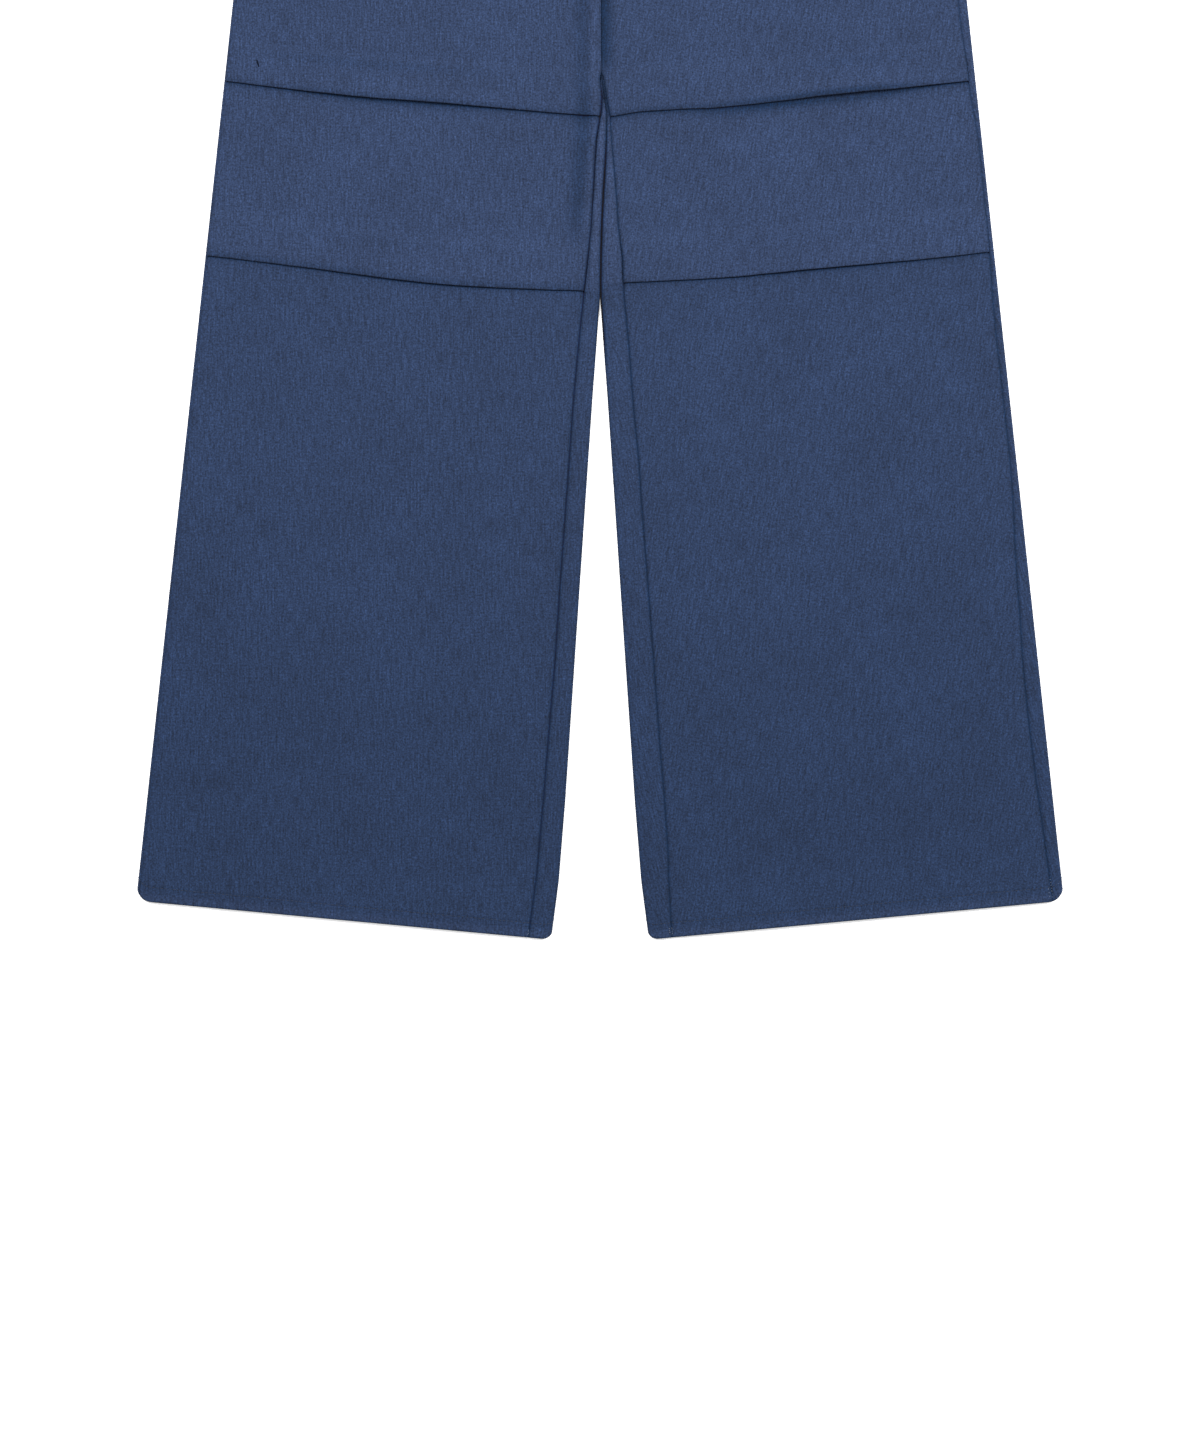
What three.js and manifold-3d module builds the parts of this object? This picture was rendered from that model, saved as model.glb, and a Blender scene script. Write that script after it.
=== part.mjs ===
// Belted wide-leg trousers with two tucks across each front leg, laid flat on their back.
// Millimetres. +X is the wearer's left, +Y runs from the hems up to the waist, +Z is off the surface.
// The origin lies on the surface, under the middle of the garment's length and width.
// Each leg is a flattened tube of two cloth walls, a front and a back, that meet at the seams.
import * as THREE from "three";
import { mergeVertices } from "three/addons/utils/BufferGeometryUtils.js";
import Module from "manifold-3d";

const wasm = await Module();
wasm.setup();

// Cloth
const cloth = 1; // wall of one layer
const seamGap = 0.3; // between pieces that are sewn or laid together
const layerStep = cloth + seamGap; // from one layer of a fold to the next
const foldRadius = layerStep / 2; // of the middle of the wall, at a fold

// Lengths along the garment, as heights on the Y axis
const halfLength = 472;
const bandHeight = 40;
const waistSeam = halfLength - bandHeight; // lower edge of the waistband
const crotch = 181;
const hemLine = -476.1; // the hem fold, carried in to the centre line
const legSplay = 0.0937; // rise of the hem for each millimetre outwards
const hemTurn = 8; // height of the turned-up hem
const hemCorner = 6; // radius at the ends of a hem

// Widths, as distances from the centre line
const waistHalf = 215;
const hipHalf = 278.7;
const hipLine = 240.5; // where the straight leg begins to curve in to the waist
const legFlare = 0.1077; // widening of the outer edge for each millimetre down

// Thickness of the flattened garment
const restingHalf = cloth / 2; // the back wall's middle, where it lies on the surface
const edgeStep = 1.6; // from back wall to front wall at a side fold
const hemStep = 3 * layerStep; // the same at a hem, with both turn-ups between
const waistStep = 3;
const legPuff = 0.9; // how much further the front rises in the middle of a leg
const hipPuff = 1.8;
const centreRise = 1; // of the front seam over the back seam above the crotch

// Waistband, belt and loops, from the surface upwards
const loopWall = 1;
const beltWall = 1.2;
const bandWall = 2;
const bandGap = 1; // between the front and the back of the waistband
const beltWidth = 28;
const loopWidth = 9;
const backBelt = loopWall + seamGap + beltWall / 2;
const backBand = backBelt + beltWall / 2 + seamGap + bandWall / 2;
const frontBand = backBand + bandWall + bandGap;
const frontBelt = frontBand + bandWall / 2 + seamGap + beltWall / 2;
const tailBelt = frontBelt + beltWall + seamGap;
const beltLine = waistSeam + bandHeight / 2;

// The inner edge of a leg, from the centre line, down the inside leg.
const innerEdge = [
  { y: waistSeam, half: 0.3 },
  { y: 20, half: 0.4 },
  { y: -63.5, half: 6.5 },
  { y: -367.5, half: 27 },
  { y: -428.3, half: 31.9 },
  { y: -476, half: 38 },
];

// How far each seam lies in from the edge of the leg, on the wearer's right and left.
const inseam = [
  { y: crotch, right: 0, left: 0 },
  { y: 140, right: 6.2, left: 3.5 },
  { y: 100, right: 7.8, left: 9.5 },
  { y: 60, right: 9.2, left: 13.2 },
  { y: 8, right: 11.9, left: 18 },
  { y: -42, right: 12.8, left: 19 },
  { y: -250, right: 14.2, left: 21.7 },
  { y: -371, right: 14.6, left: 21.7 },
  { y: -476, right: 14.8, left: 18 },
];
const outseam = [
  { y: waistSeam, right: 0, left: 6 },
  { y: 240, right: 0, left: 6.4 },
  { y: 170, right: 0, left: 4.2 },
  { y: 90, right: 0, left: 3 },
  { y: 40, right: 0, left: 2.6 },
  { y: -10, right: 0, left: 4.4 },
  { y: -150, right: 0, left: 4.8 },
  { y: -250, right: 0, left: 9 },
  { y: -476, right: 0, left: 7.8 },
];

// The flap over the front opening: its width, how far it passes the front seam, its lower end,
// and the height of the curve there.
const flap = { width: 34, overlap: 2.3, bottom: 267, bend: 36 };

// The two tucks of each front: the fold's line, its slant, how far it sags between the seams,
// and how far and where its edge stands open.
const tuckDepth = 28;
const tucks = {
  right: [
    { line: 18.1, slant: 0.0938, sag: 4.6, sagAt: 0.42, open: 1.2, openAt: 0.5, openWidth: 0.28 },
    { line: 151.5, slant: 0.0972, sag: 2.3, sagAt: 0.6, open: 2.2, openAt: 0.5, openWidth: 0.28 },
  ],
  left: [
    { line: 24.4, slant: 0.0861, sag: 3, sagAt: 0.45, open: 0.9, openAt: 0.5, openWidth: 0.3 },
    { line: 152, slant: 0.1017, sag: 1.4, sagAt: 0.4, open: 2.6, openAt: 0.63, openWidth: 0.2 },
  ],
};
const sides = { right: -1, left: 1 };

const lerp = THREE.MathUtils.lerp;
const smooth = THREE.MathUtils.smoothstep; // smooth(x, low, high)
const hump = (x, middle, width) => Math.exp(-(((x - middle) / width) ** 2));

// Value of a column at a height, in a table whose rows run downwards.
function readTable(table, y, column) {
  const below = table.findIndex((row) => row.y <= y);
  if (below === 0) return table[0][column];
  if (below < 0) return table[table.length - 1][column];
  const [low, high] = [table[below], table[below - 1]];
  return lerp(low[column], high[column], (y - low.y) / (high.y - low.y));
}

// Outer edge of the leg and hip at a height.
function outerEdge(y) {
  const up = y - hipLine;
  if (up <= 0) return hipHalf - legFlare * up;
  const span = waistSeam - hipLine;
  const curve = hipHalf - legFlare * span - waistHalf;
  return hipHalf - legFlare * up - curve * (up / span) ** 1.6;
}

// Slant of a row of cloth, and its sag, from the height where it meets the centre line.
function rowTable(side) {
  const [low, high] = tucks[side];
  return [
    { y: waistSeam, slant: 0, sag: 0, sagAt: high.sagAt },
    { y: high.line, slant: high.slant, sag: high.sag, sagAt: high.sagAt },
    { y: low.line, slant: low.slant, sag: low.sag, sagAt: low.sagAt },
    { y: hemLine, slant: legSplay, sag: 0, sagAt: low.sagAt },
  ];
}

// The centre line bends a little to the wearer's left below the crotch, where one thigh lies on the other.
function swayed(x, y) {
  const middle = 150;
  const reach = y > middle ? 25 : 65;
  const fade = Math.max(0, 1 - Math.abs(x) / 60) ** 2;
  return x + 4.8 * hump(y, middle, reach) * fade;
}

// Soft ridge and valley beside the front seam, and the trough beside the right inseam.
function relief(side, x, y) {
  const rise = smooth(y, crotch - 12, crotch + 18) * (1 - smooth(y, 241, flap.bottom - 2));
  const beside = side === "right" ? 1.4 * hump(x, 4, 6) : -0.5 * hump(x, 7, 8);
  const trough = side === "right" ? -0.5 * hump(x, 18, 7) * hump(y, 125, 55) : 0;
  return beside * rise + trough;
}

// All that a row of cloth needs, from the height where it meets the centre line.
function legRow(side, height) {
  const table = rowTable(side);
  const slant = readTable(table, height, "slant");
  const meets = (edge) => {
    let half = 0;
    for (let turn = 0; turn < 8; turn++) half = edge(height + slant * half);
    return half;
  };
  const inner = meets((y) => readTable(innerEdge, y, "half"));
  const outer = meets(outerEdge);
  const up = height - hemLine;
  const round = Math.max(0, hemCorner - up);
  const pull = hemCorner - Math.sqrt(hemCorner ** 2 - round ** 2);
  const toWaist = smooth(height, waistSeam - 95, waistSeam - 5);
  const toHem = 1 - smooth(up, hemTurn + 1, 45);
  const step = lerp(lerp(edgeStep, hemStep, toHem), waistStep, toWaist);
  const wrapped = restingHalf + step / 2; // from the edge to where the fold meets the flat
  const yIn = height + slant * inner;
  const yOut = height + slant * outer;
  const open = smooth(yIn, crotch + 9, crotch + 16); // above the crotch the front reaches the centre
  const gap = seamGap / 2 + 1.2 * (round / hemCorner) ** 2; // from the seam line to each wall's edge
  const turned = pull + wrapped + gap + 0.4; // the least that the back takes to turn over an edge
  return {
    side,
    height,
    slant,
    gap,
    sag: readTable(table, height, "sag"),
    sagAt: readTable(table, height, "sagAt"),
    inner: inner + pull,
    outer: outer - pull,
    seamIn: inner + Math.max(readTable(inseam, yIn, side), turned),
    seamOut: outer - Math.max(readTable(outseam, yOut, side), turned),
    open,
    wrapAngle: lerp(180, 75, smooth(yIn, crotch, crotch + 9)),
    back: lerp(restingHalf, backBand, toWaist),
    step,
    puff: lerp(legPuff, hipPuff, smooth(height, crotch, 300)) * (1 - toWaist),
    raise: centreRise * smooth(yIn, crotch - 6, crotch + 12) * (1 - toWaist),
  };
}

function placed(side, x, y, z) {
  return new THREE.Vector3(swayed(sides[side] * x, y), y, z);
}

// A point of a front's wall. across runs from the inseam or front seam, 0, to the outseam, 1.
// lift moves it off the surface, as the layers of a tuck need.
function frontPoint(row, across, lift) {
  const from = lerp(row.seamIn, row.inner, row.open) + row.gap;
  const x = lerp(from, row.seamOut - row.gap, across);
  const y = row.height + row.slant * x - row.sag * sagShape(across, row.sagAt);
  const puff = row.puff * (1 - (2 * across - 1) ** 4);
  const raise = row.raise * (1 - smooth(x, 10, 70));
  const flat = row.back + row.step + puff + raise;
  return placed(row.side, x, y, flat + lift + relief(row.side, x, y));
}

// 0 at both seams and 1 at the place where the row hangs lowest.
function sagShape(across, lowest) {
  const turned = across < lowest ? across / lowest : (1 - across) / (1 - lowest);
  return Math.sin((turned * Math.PI) / 2) ** 1.5;
}

// Points of a back's wall along one row, from the outseam round the outer fold, along the surface,
// round the inner fold and on to the inseam. inward moves them into the tube, as the hem's turn-up needs.
function backPoints(row, inward) {
  const radius = row.step / 2;
  const bend = radius - inward;
  const middle = row.back + radius;
  const outside = row.outer - restingHalf - radius;
  const inside = row.inner + restingHalf + radius;
  const points = [[row.seamOut + row.gap, middle + bend]];
  const turns = 3;
  for (let k = 0; k <= turns; k++) {
    const angle = Math.PI * (1 - k / turns);
    points.push([outside + bend * Math.sin(angle), middle - bend * Math.cos(angle)]);
  }
  const flats = 5;
  for (let k = 1; k <= flats; k++) points.push([lerp(outside, inside, k / (flats + 1)), middle - bend]);
  const end = (row.wrapAngle * Math.PI) / 180;
  for (let k = 0; k <= turns; k++) {
    const angle = (end * k) / turns;
    points.push([inside - bend * Math.sin(angle), middle - bend * Math.cos(angle)]);
  }
  const [x, z] = points[points.length - 1];
  const strip = row.wrapAngle > 179 ? row.seamIn - row.gap - inside : 0.3;
  points.push([x - strip * Math.cos(end), z + strip * Math.sin(end)]);
  return points.map(([px, pz]) => placed(row.side, px, row.height + row.slant * px, pz));
}

// A half turn of cloth between two layers, as pairs of height and lift.
function fold(height, fromLift, toLift, outwards) {
  const middle = (fromLift + toLift) / 2;
  const start = (fromLift - toLift) / 2;
  return [30, 90, 150].map((degrees) => {
    const angle = THREE.MathUtils.degToRad(degrees);
    return [height + outwards * foldRadius * (Math.sin(angle) - 1), middle + start * Math.cos(angle)];
  });
}

// Heights above the hem fold, with the lift of the turn-up's layer, from its raw edge round to the outside.
function hemProfile() {
  const under = [hemTurn, hemTurn / 2, foldRadius].map((up) => [up, layerStep]);
  const over = [foldRadius, 1.6, 3, 5, hemTurn, 14, 26, 45].map((up) => [up, 0]);
  return [...under, ...fold(0, layerStep, 0, -1), ...over];
}

// Heights from a tuck's edge, with the lift of each of its three layers, from below it to above it.
function tuckProfile() {
  const depth = tuckDepth;
  const lower = [-30, -10, 0, depth / 2, depth - foldRadius].map((up) => [up, 0]);
  const middle = [depth - foldRadius, depth / 2, foldRadius].map((up) => [up, layerStep]);
  const top = 2 * layerStep;
  const upper = [
    [foldRadius, top],
    [4, top],
    [depth / 2, top],
    [depth, top],
    [depth + 5, 0.75 * top],
    [depth + 10, 0.35 * top],
    [depth + 18, 0],
  ];
  return [...lower, ...fold(depth, 0, layerStep, 1), ...middle, ...fold(0, layerStep, top, -1), ...upper];
}

// A closed wall round a grid of middle points, half its thickness to each side.
function wall(grid, thickness) {
  const rows = grid.length;
  const columns = grid[0].length;
  const along = (list, k) => {
    const tangent = new THREE.Vector3();
    if (k > 0) tangent.add(list[k].clone().sub(list[k - 1]).normalize());
    if (k < list.length - 1) tangent.add(list[k + 1].clone().sub(list[k]).normalize());
    return tangent.normalize();
  };
  const positions = [];
  for (const half of [thickness / 2, -thickness / 2])
    for (let j = 0; j < rows; j++)
      for (let i = 0; i < columns; i++) {
        const column = grid.map((row) => row[i]);
        const normal = along(grid[j], i).cross(along(column, j)).normalize();
        positions.push(...grid[j][i].clone().addScaledVector(normal, half).toArray());
      }
  const at = (layer, j, i) => (layer * rows + j) * columns + i;
  const faces = [];
  const quad = (a, b, c, d) => faces.push(a, b, c, a, c, d);
  for (let j = 0; j < rows - 1; j++)
    for (let i = 0; i < columns - 1; i++) {
      quad(at(0, j, i), at(0, j, i + 1), at(0, j + 1, i + 1), at(0, j + 1, i));
      quad(at(1, j, i), at(1, j + 1, i), at(1, j + 1, i + 1), at(1, j, i + 1));
    }
  for (let i = 0; i < columns - 1; i++) {
    quad(at(0, 0, i + 1), at(0, 0, i), at(1, 0, i), at(1, 0, i + 1));
    quad(at(0, rows - 1, i), at(0, rows - 1, i + 1), at(1, rows - 1, i + 1), at(1, rows - 1, i));
  }
  for (let j = 0; j < rows - 1; j++) {
    quad(at(0, j, 0), at(0, j + 1, 0), at(1, j + 1, 0), at(1, j, 0));
    quad(at(0, j + 1, columns - 1), at(0, j, columns - 1), at(1, j, columns - 1), at(1, j + 1, columns - 1));
  }
  return facingOut(new Float32Array(positions), new Uint32Array(faces));
}

// Turns the faces round if they point inwards.
function facingOut(position, index) {
  const corner = (k) => new THREE.Vector3().fromArray(position, 3 * index[k]);
  let volume = 0;
  for (let k = 0; k < index.length; k += 3)
    volume += corner(k).dot(corner(k + 1).cross(corner(k + 2)));
  if (volume < 0)
    for (let k = 0; k < index.length; k += 3) [index[k], index[k + 1]] = [index[k + 1], index[k]];
  const geometry = new THREE.BufferGeometry();
  geometry.setAttribute("position", new THREE.BufferAttribute(position, 3));
  geometry.setIndex(new THREE.BufferAttribute(index, 1));
  return geometry;
}

// Heights of the rows of cloth that fronts and backs share, so that their seams follow each other.
const legRows = [-371, -250, -150, -42];
const tuckRows = [-30, -10, 0, tuckDepth / 2, tuckDepth, tuckDepth + 5, tuckDepth + 10, tuckDepth + 18];
const hipRows = [215, 240, 265, 290, 315, 337, 360, 383, 406, 420, waistSeam - seamGap];

// Front of one leg and hip, hem to waist, with its turned-up hem and its two tucks.
function frontPanel(side) {
  const [low, high] = tucks[side];
  const columns = [0, 0.02, 0.05, 0.1, 0.2, 0.34, 0.5, 0.66, 0.82, 0.93, 1];
  const grid = [];
  const addRow = (height, lift) => {
    const row = legRow(side, height);
    grid.push(columns.map((across) => frontPoint(row, across, typeof lift === "number" ? lift : lift(across))));
  };
  for (const [up, lift] of hemProfile()) addRow(hemLine + up, -lift);
  for (const height of legRows) addRow(height, 0);
  for (const tuck of [low, high]) {
    for (const [up, lift] of tuckProfile()) {
      const opened = (across) =>
        lift + (lift > 0 && up < tuckDepth / 2 ? tuck.open * hump(across, tuck.openAt, tuck.openWidth) * hump(up, 0, 9) : 0);
      addRow(tuck.line + up, opened);
    }
    if (tuck === low) addRow(100, 0);
  }
  for (const height of hipRows) addRow(height, 0);
  return wall(grid, cloth);
}

// Back of one leg and hip, which lies on the surface and wraps round both edges of the leg to the seams.
function backPanel(side) {
  const [low, high] = tucks[side];
  const beside = (tuck) => tuckRows.map((up) => tuck.line + up);
  const grid = hemProfile().map(([up, inward]) => backPoints(legRow(side, hemLine + up), inward));
  const heights = [...legRows, ...beside(low), 100, ...beside(high), ...hipRows];
  for (const height of heights) grid.push(backPoints(legRow(side, height), 0));
  return wall(grid, cloth);
}

// The flap lies on the right front, and its edge just passes the front seam.
function flyFlap() {
  const { width, overlap, bottom, bend } = flap;
  const straight = hipRows.filter((y) => y > bottom + bend).reverse();
  const curve = [0, 0.35, 0.65, 0.87, 1].map((share) => bottom + bend * (1 - share));
  const grid = [...straight, ...curve].map((height) => {
    const down = Math.max(0, (bottom + bend - height) / bend);
    const reach = lerp(5, width, Math.sqrt(Math.max(0, 1 - down ** 2)));
    const row = legRow("right", height);
    const span = row.seamOut - row.inner;
    const shares = [reach / span, 0.67 * (reach / span), 0.33 * (reach / span), 0];
    const points = shares.map((across) => frontPoint(row, across, layerStep));
    const edge = points[points.length - 1].clone().setX(overlap);
    return [...points, edge];
  });
  return wall(grid, cloth);
}

// A flat band standing on edge along a path of x and z, between two heights that may close in at its end.
function bandAlong(path, thickness, low, high, closing = () => 1) {
  const middle = (low + high) / 2;
  const half = (high - low) / 2;
  return wall(
    path.map(([x, z], k) => [-1, 0, 1].map((share) => new THREE.Vector3(x, middle + share * half * closing(x, k), z))),
    thickness,
  );
}

// The path of a flattened ring, clockwise from the front left of the picture, round the back and forward again.
function flatRing(half, front, back, from, to) {
  const radius = (front - back) / 2;
  const middle = (front + back) / 2;
  const straight = half - radius;
  const line = (a, b, z, count) => Array.from({ length: count }, (_, k) => [lerp(a, b, k / (count - 1)), z]);
  const bend = (sign) =>
    [30, 60, 90, 120, 150].map((degrees) => {
      const angle = THREE.MathUtils.degToRad(degrees);
      return [sign * (straight + radius * Math.sin(angle)), middle + sign * radius * Math.cos(angle)];
    });
  return [
    ...line(from, straight, front, 4),
    ...bend(1),
    ...line(straight, -straight, back, 7),
    ...bend(-1),
    ...line(-straight, to, front, 4),
  ];
}

function waistband() {
  const opening = 2.5; // the ends meet at the edge of the flap
  const ring = flatRing(waistHalf - bandWall / 2, frontBand, backBand, opening + seamGap / 2, opening - seamGap / 2);
  return bandAlong(ring, bandWall, waistSeam, halfLength);
}

// Buckle: a flat frame with a round bar across its middle, where the belt's end is turned round.
const buckle = { length: 46, height: 40, side: 5, wall: 3, bar: 1, corner: 4 };
buckle.low = tailBelt + beltWall / 2 + seamGap;
buckle.barAt = buckle.low + buckle.bar;

// The belt starts at its turned end on the bar, runs right round and comes back over the bar as the tail.
const tailTip = 135;
function belt() {
  const wrap = buckle.bar + seamGap + beltWall / 2;
  const top = buckle.barAt + wrap;
  const under = buckle.barAt - wrap;
  const over = top + beltWall + seamGap + 0.2;
  const inside = buckle.length / 2 - buckle.side; // half the frame's window
  const turned = [90, 45, 0, -45, -90].map((degrees) => {
    const angle = THREE.MathUtils.degToRad(degrees);
    return [-wrap * Math.cos(angle), buckle.barAt + wrap * Math.sin(angle)];
  });
  const ring = flatRing(waistHalf + seamGap + beltWall / 2, frontBelt, backBelt, inside + 12, -inside - 14);
  const path = [
    [3.5, top],
    ...turned,
    [8, lerp(under, frontBelt, 0.55)],
    [inside - 2, frontBelt + 0.05],
    ...ring,
    [-inside - 5, frontBelt],
    [-inside, frontBelt + 0.3],
    [-inside + 6, frontBelt + 2.5],
    [-5.5, over - 0.9],
    [0, over],
    [5, over - 0.3],
    [10, over - 2.1],
    [inside - 3.2, tailBelt + 0.6],
    [inside - 0.6, tailBelt],
    [inside + 10, tailBelt],
    [80, tailBelt],
    [tailTip - 14, tailBelt],
    [tailTip - 8, tailBelt],
    [tailTip - 3, tailBelt],
    [tailTip, tailBelt],
  ];
  const last = path.length - 1;
  const narrowing = { [last - 2]: 0.94, [last - 1]: 0.74, [last]: 0.4 };
  return bandAlong(path, beltWall, beltLine - beltWidth / 2, beltLine + beltWidth / 2, (x, k) => narrowing[k] ?? 1);
}

// A closed mesh as a solid that can be joined and cut.
function solid(geometry) {
  const bare = geometry.clone();
  bare.deleteAttribute("normal");
  bare.deleteAttribute("uv");
  const merged = mergeVertices(bare, 1e-4);
  return new wasm.Manifold(
    new wasm.Mesh({
      numProp: 3,
      vertProperties: merged.attributes.position.array,
      triVerts: new Uint32Array(merged.index.array),
    }),
  );
}

function geometryOf(joined) {
  const mesh = joined.getMesh();
  const geometry = new THREE.BufferGeometry();
  geometry.setAttribute("position", new THREE.BufferAttribute(new Float32Array(mesh.vertProperties), 3));
  geometry.setIndex(new THREE.BufferAttribute(new Uint32Array(mesh.triVerts), 1));
  return geometry;
}

function roundedRectangle(width, height, radius) {
  const [w, h] = [width / 2, height / 2];
  const outline = new THREE.Path();
  outline.moveTo(-w + radius, -h);
  outline.lineTo(w - radius, -h);
  outline.absarc(w - radius, -h + radius, radius, -Math.PI / 2, 0);
  outline.lineTo(w, h - radius);
  outline.absarc(w - radius, h - radius, radius, 0, Math.PI / 2);
  outline.lineTo(-w + radius, h);
  outline.absarc(-w + radius, h - radius, radius, Math.PI / 2, Math.PI);
  outline.lineTo(-w, -h + radius);
  outline.absarc(-w + radius, -h + radius, radius, Math.PI, 1.5 * Math.PI);
  return outline;
}

function buckleFrame() {
  const { length, height, side, wall: depth, bar, corner } = buckle;
  const frame = new THREE.Shape(roundedRectangle(length, height, corner).getPoints(4));
  frame.holes.push(new THREE.Path(roundedRectangle(length - 2 * side, height - 2 * side, 1).getPoints(2)));
  const plate = new THREE.ExtrudeGeometry(frame, { depth, bevelEnabled: false });
  plate.translate(0, beltLine, buckle.low);
  const rod = new THREE.CylinderGeometry(bar, bar, height - side, 12);
  rod.translate(0, beltLine, buckle.barAt);
  return geometryOf(solid(plate).add(solid(rod)));
}

// A belt loop: its two ends lie on the waistband and its middle stands off over the belt.
function beltLoop(x, onBand, overBelt) {
  const [foot, ramp] = [2.4, 2];
  const [low, high] = [waistSeam + 0.6, halfLength - 0.6];
  const path = [
    [low, onBand],
    [low + foot, onBand],
    [low + foot + ramp, overBelt],
    [beltLine, overBelt],
    [high - foot - ramp, overBelt],
    [high - foot, onBand],
    [high, onBand],
  ];
  return wall(
    path.map(([y, z]) => [-0.5, 0.5].map((share) => new THREE.Vector3(x + share * loopWidth, y, z))),
    loopWall,
  );
}

const looks = {
  cloth: new THREE.MeshStandardMaterial({ color: 0x384766, roughness: 0.92, metalness: 0, side: THREE.DoubleSide }),
  belt: new THREE.MeshStandardMaterial({ color: 0x364462, roughness: 0.9, metalness: 0 }),
  metal: new THREE.MeshStandardMaterial({ color: 0x3a3d44, roughness: 0.35, metalness: 1 }),
};

const trousers = new THREE.Group();
function add(name, geometry, material) {
  const mesh = new THREE.Mesh(geometry, material);
  mesh.name = name;
  trousers.add(mesh);
}

for (const side of Object.keys(sides)) {
  add(`back_${side}`, backPanel(side), looks.cloth);
  add(`front_${side}`, frontPanel(side), looks.cloth);
}
add("fly_flap", flyFlap(), looks.cloth);
add("waistband", waistband(), looks.cloth);
add("belt_strap", belt(), looks.belt);
add("belt_buckle", buckleFrame(), looks.metal);

const loopOn = frontBand + bandWall / 2 + seamGap + loopWall / 2;
const loopUnder = backBand - bandWall / 2 - seamGap - loopWall / 2;
const overOne = frontBelt + beltWall / 2 + seamGap + loopWall / 2;
const overTwo = tailBelt + beltWall / 2 + seamGap + loopWall / 2;
add("loop_front_right", beltLoop(-100, loopOn, overOne), looks.cloth);
add("loop_front_left", beltLoop(100, loopOn, overTwo), looks.cloth);
add("loop_back_right", beltLoop(-120, loopUnder, loopWall / 2), looks.cloth);
add("loop_back_centre", beltLoop(0, loopUnder, loopWall / 2), looks.cloth);
add("loop_back_left", beltLoop(120, loopUnder, loopWall / 2), looks.cloth);

export default trousers;
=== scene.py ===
import math

import bpy
import numpy as np
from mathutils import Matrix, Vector


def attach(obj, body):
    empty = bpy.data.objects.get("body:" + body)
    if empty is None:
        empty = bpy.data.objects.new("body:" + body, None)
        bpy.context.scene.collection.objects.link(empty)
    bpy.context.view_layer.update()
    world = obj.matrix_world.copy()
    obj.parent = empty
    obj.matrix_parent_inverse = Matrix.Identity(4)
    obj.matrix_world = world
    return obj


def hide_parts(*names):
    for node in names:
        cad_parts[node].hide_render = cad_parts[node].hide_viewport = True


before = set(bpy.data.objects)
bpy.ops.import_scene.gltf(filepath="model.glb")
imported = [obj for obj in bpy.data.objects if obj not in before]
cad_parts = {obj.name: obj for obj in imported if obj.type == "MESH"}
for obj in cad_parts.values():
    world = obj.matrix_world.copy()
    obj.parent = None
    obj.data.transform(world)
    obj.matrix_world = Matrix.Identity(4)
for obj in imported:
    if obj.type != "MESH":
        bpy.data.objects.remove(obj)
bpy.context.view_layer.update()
bpy.ops.object.select_all(action="DESELECT")
print("frame loaded")

mm = 0.001  # every size below is in millimetres
sides = {"right": -1, "left": 1}  # the wearer's

# The garment's own sizes

cloth = {
    "shown": 0.62,  # thickness of one layer
    "layerStep": 0.86,  # from one layer of a fold to the next
    "seamGap": 0.3,  # between the waistband's, belt's and loops' layers
    "seamSlit": 0.08,  # between two panels sewn together
    "seamDip": 0.8,  # how deep a seam pulls its two edges in
    "outerDip": {"right": 0.3, "left": 0.7},
    "seamReach": 1.15,
}
layerStep = cloth["layerStep"]
foldRadius = layerStep / 2

garment = {
    "waistSeam": 432,
    "bandHeight": 40,
    "crotch": 181,
    "hemLine": -476.7,
    "legSplay": 0.0937,
    "hemTurn": 12.5,
    "hemSewing": 11,
    "innerCorner": 7.2,
    "outerCorner": 11.5,
    "cornerFade": 34,
    "waistHalf": 215,
    "hipHalf": 278.7,
    "hipLine": 240.5,
    "legFlare": 0.1077,
    "hipCurve": 1.6,
}

# How far the walls stand off the surface and off each other
loft = {
    "resting": 0.5,
    "edgeStep": 1.6,
    "hemStep": 3.1 * layerStep,
    "waistStep": 3,
    "legPuff": 0.9,
    "hipPuff": 1.8,
    "centreRise": 1,
}

# Waistband, belt and loops, from the surface upwards
loopWall = 1
beltWall = 1.2
bandWall = 2
slack = 0.1  # a shell is this much thinner than the room kept for it
beltWidth = 28
loopWidth = 9
backBelt = loopWall + cloth["seamGap"] + beltWall / 2
backBand = backBelt + beltWall / 2 + cloth["seamGap"] + bandWall / 2
frontBand = backBand + bandWall + 1
frontBelt = frontBand + bandWall / 2 + cloth["seamGap"] + beltWall / 2
tailBelt = frontBelt + beltWall + cloth["seamGap"]
beltLine = garment["waistSeam"] + garment["bandHeight"] / 2
waistTop = garment["waistSeam"] + garment["bandHeight"]

# The leg's inner edge, from the centre line, and how far the seams lie in from the leg's edges
innerEdge = {
    "y": [-476, -428.3, -367.5, -63.5, -16.4, 15, 432],
    "half": [37.3, 31.2, 26.3, 5.8, 2.3, 0.05, 0.05],
}
inseam = {
    "right": {
        "y": [-476, -390, -322, -265, -208, -130, -71, -42, -3, 20, 43, 66, 88, 111, 134, 157, 181],
        "in": [17.6, 16.8, 16, 14.9, 15, 14.5, 14.3, 13.9, 13, 12.1, 9.7, 7.7, 7.3, 7.2, 6.8, 3.5, 0],
    },
    "left": {
        "y": [-476, -459, -413, -368, -333, -231, -140, -110, -71, -26, 20, 43, 66, 88, 111, 134, 181],
        "in": [17.6, 18.6, 21.8, 22.5, 21.8, 21.1, 20.2, 20.3, 19, 19, 17.8, 17.1, 13.3, 11.2, 8, 4.5, 0],
    },
}
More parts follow.
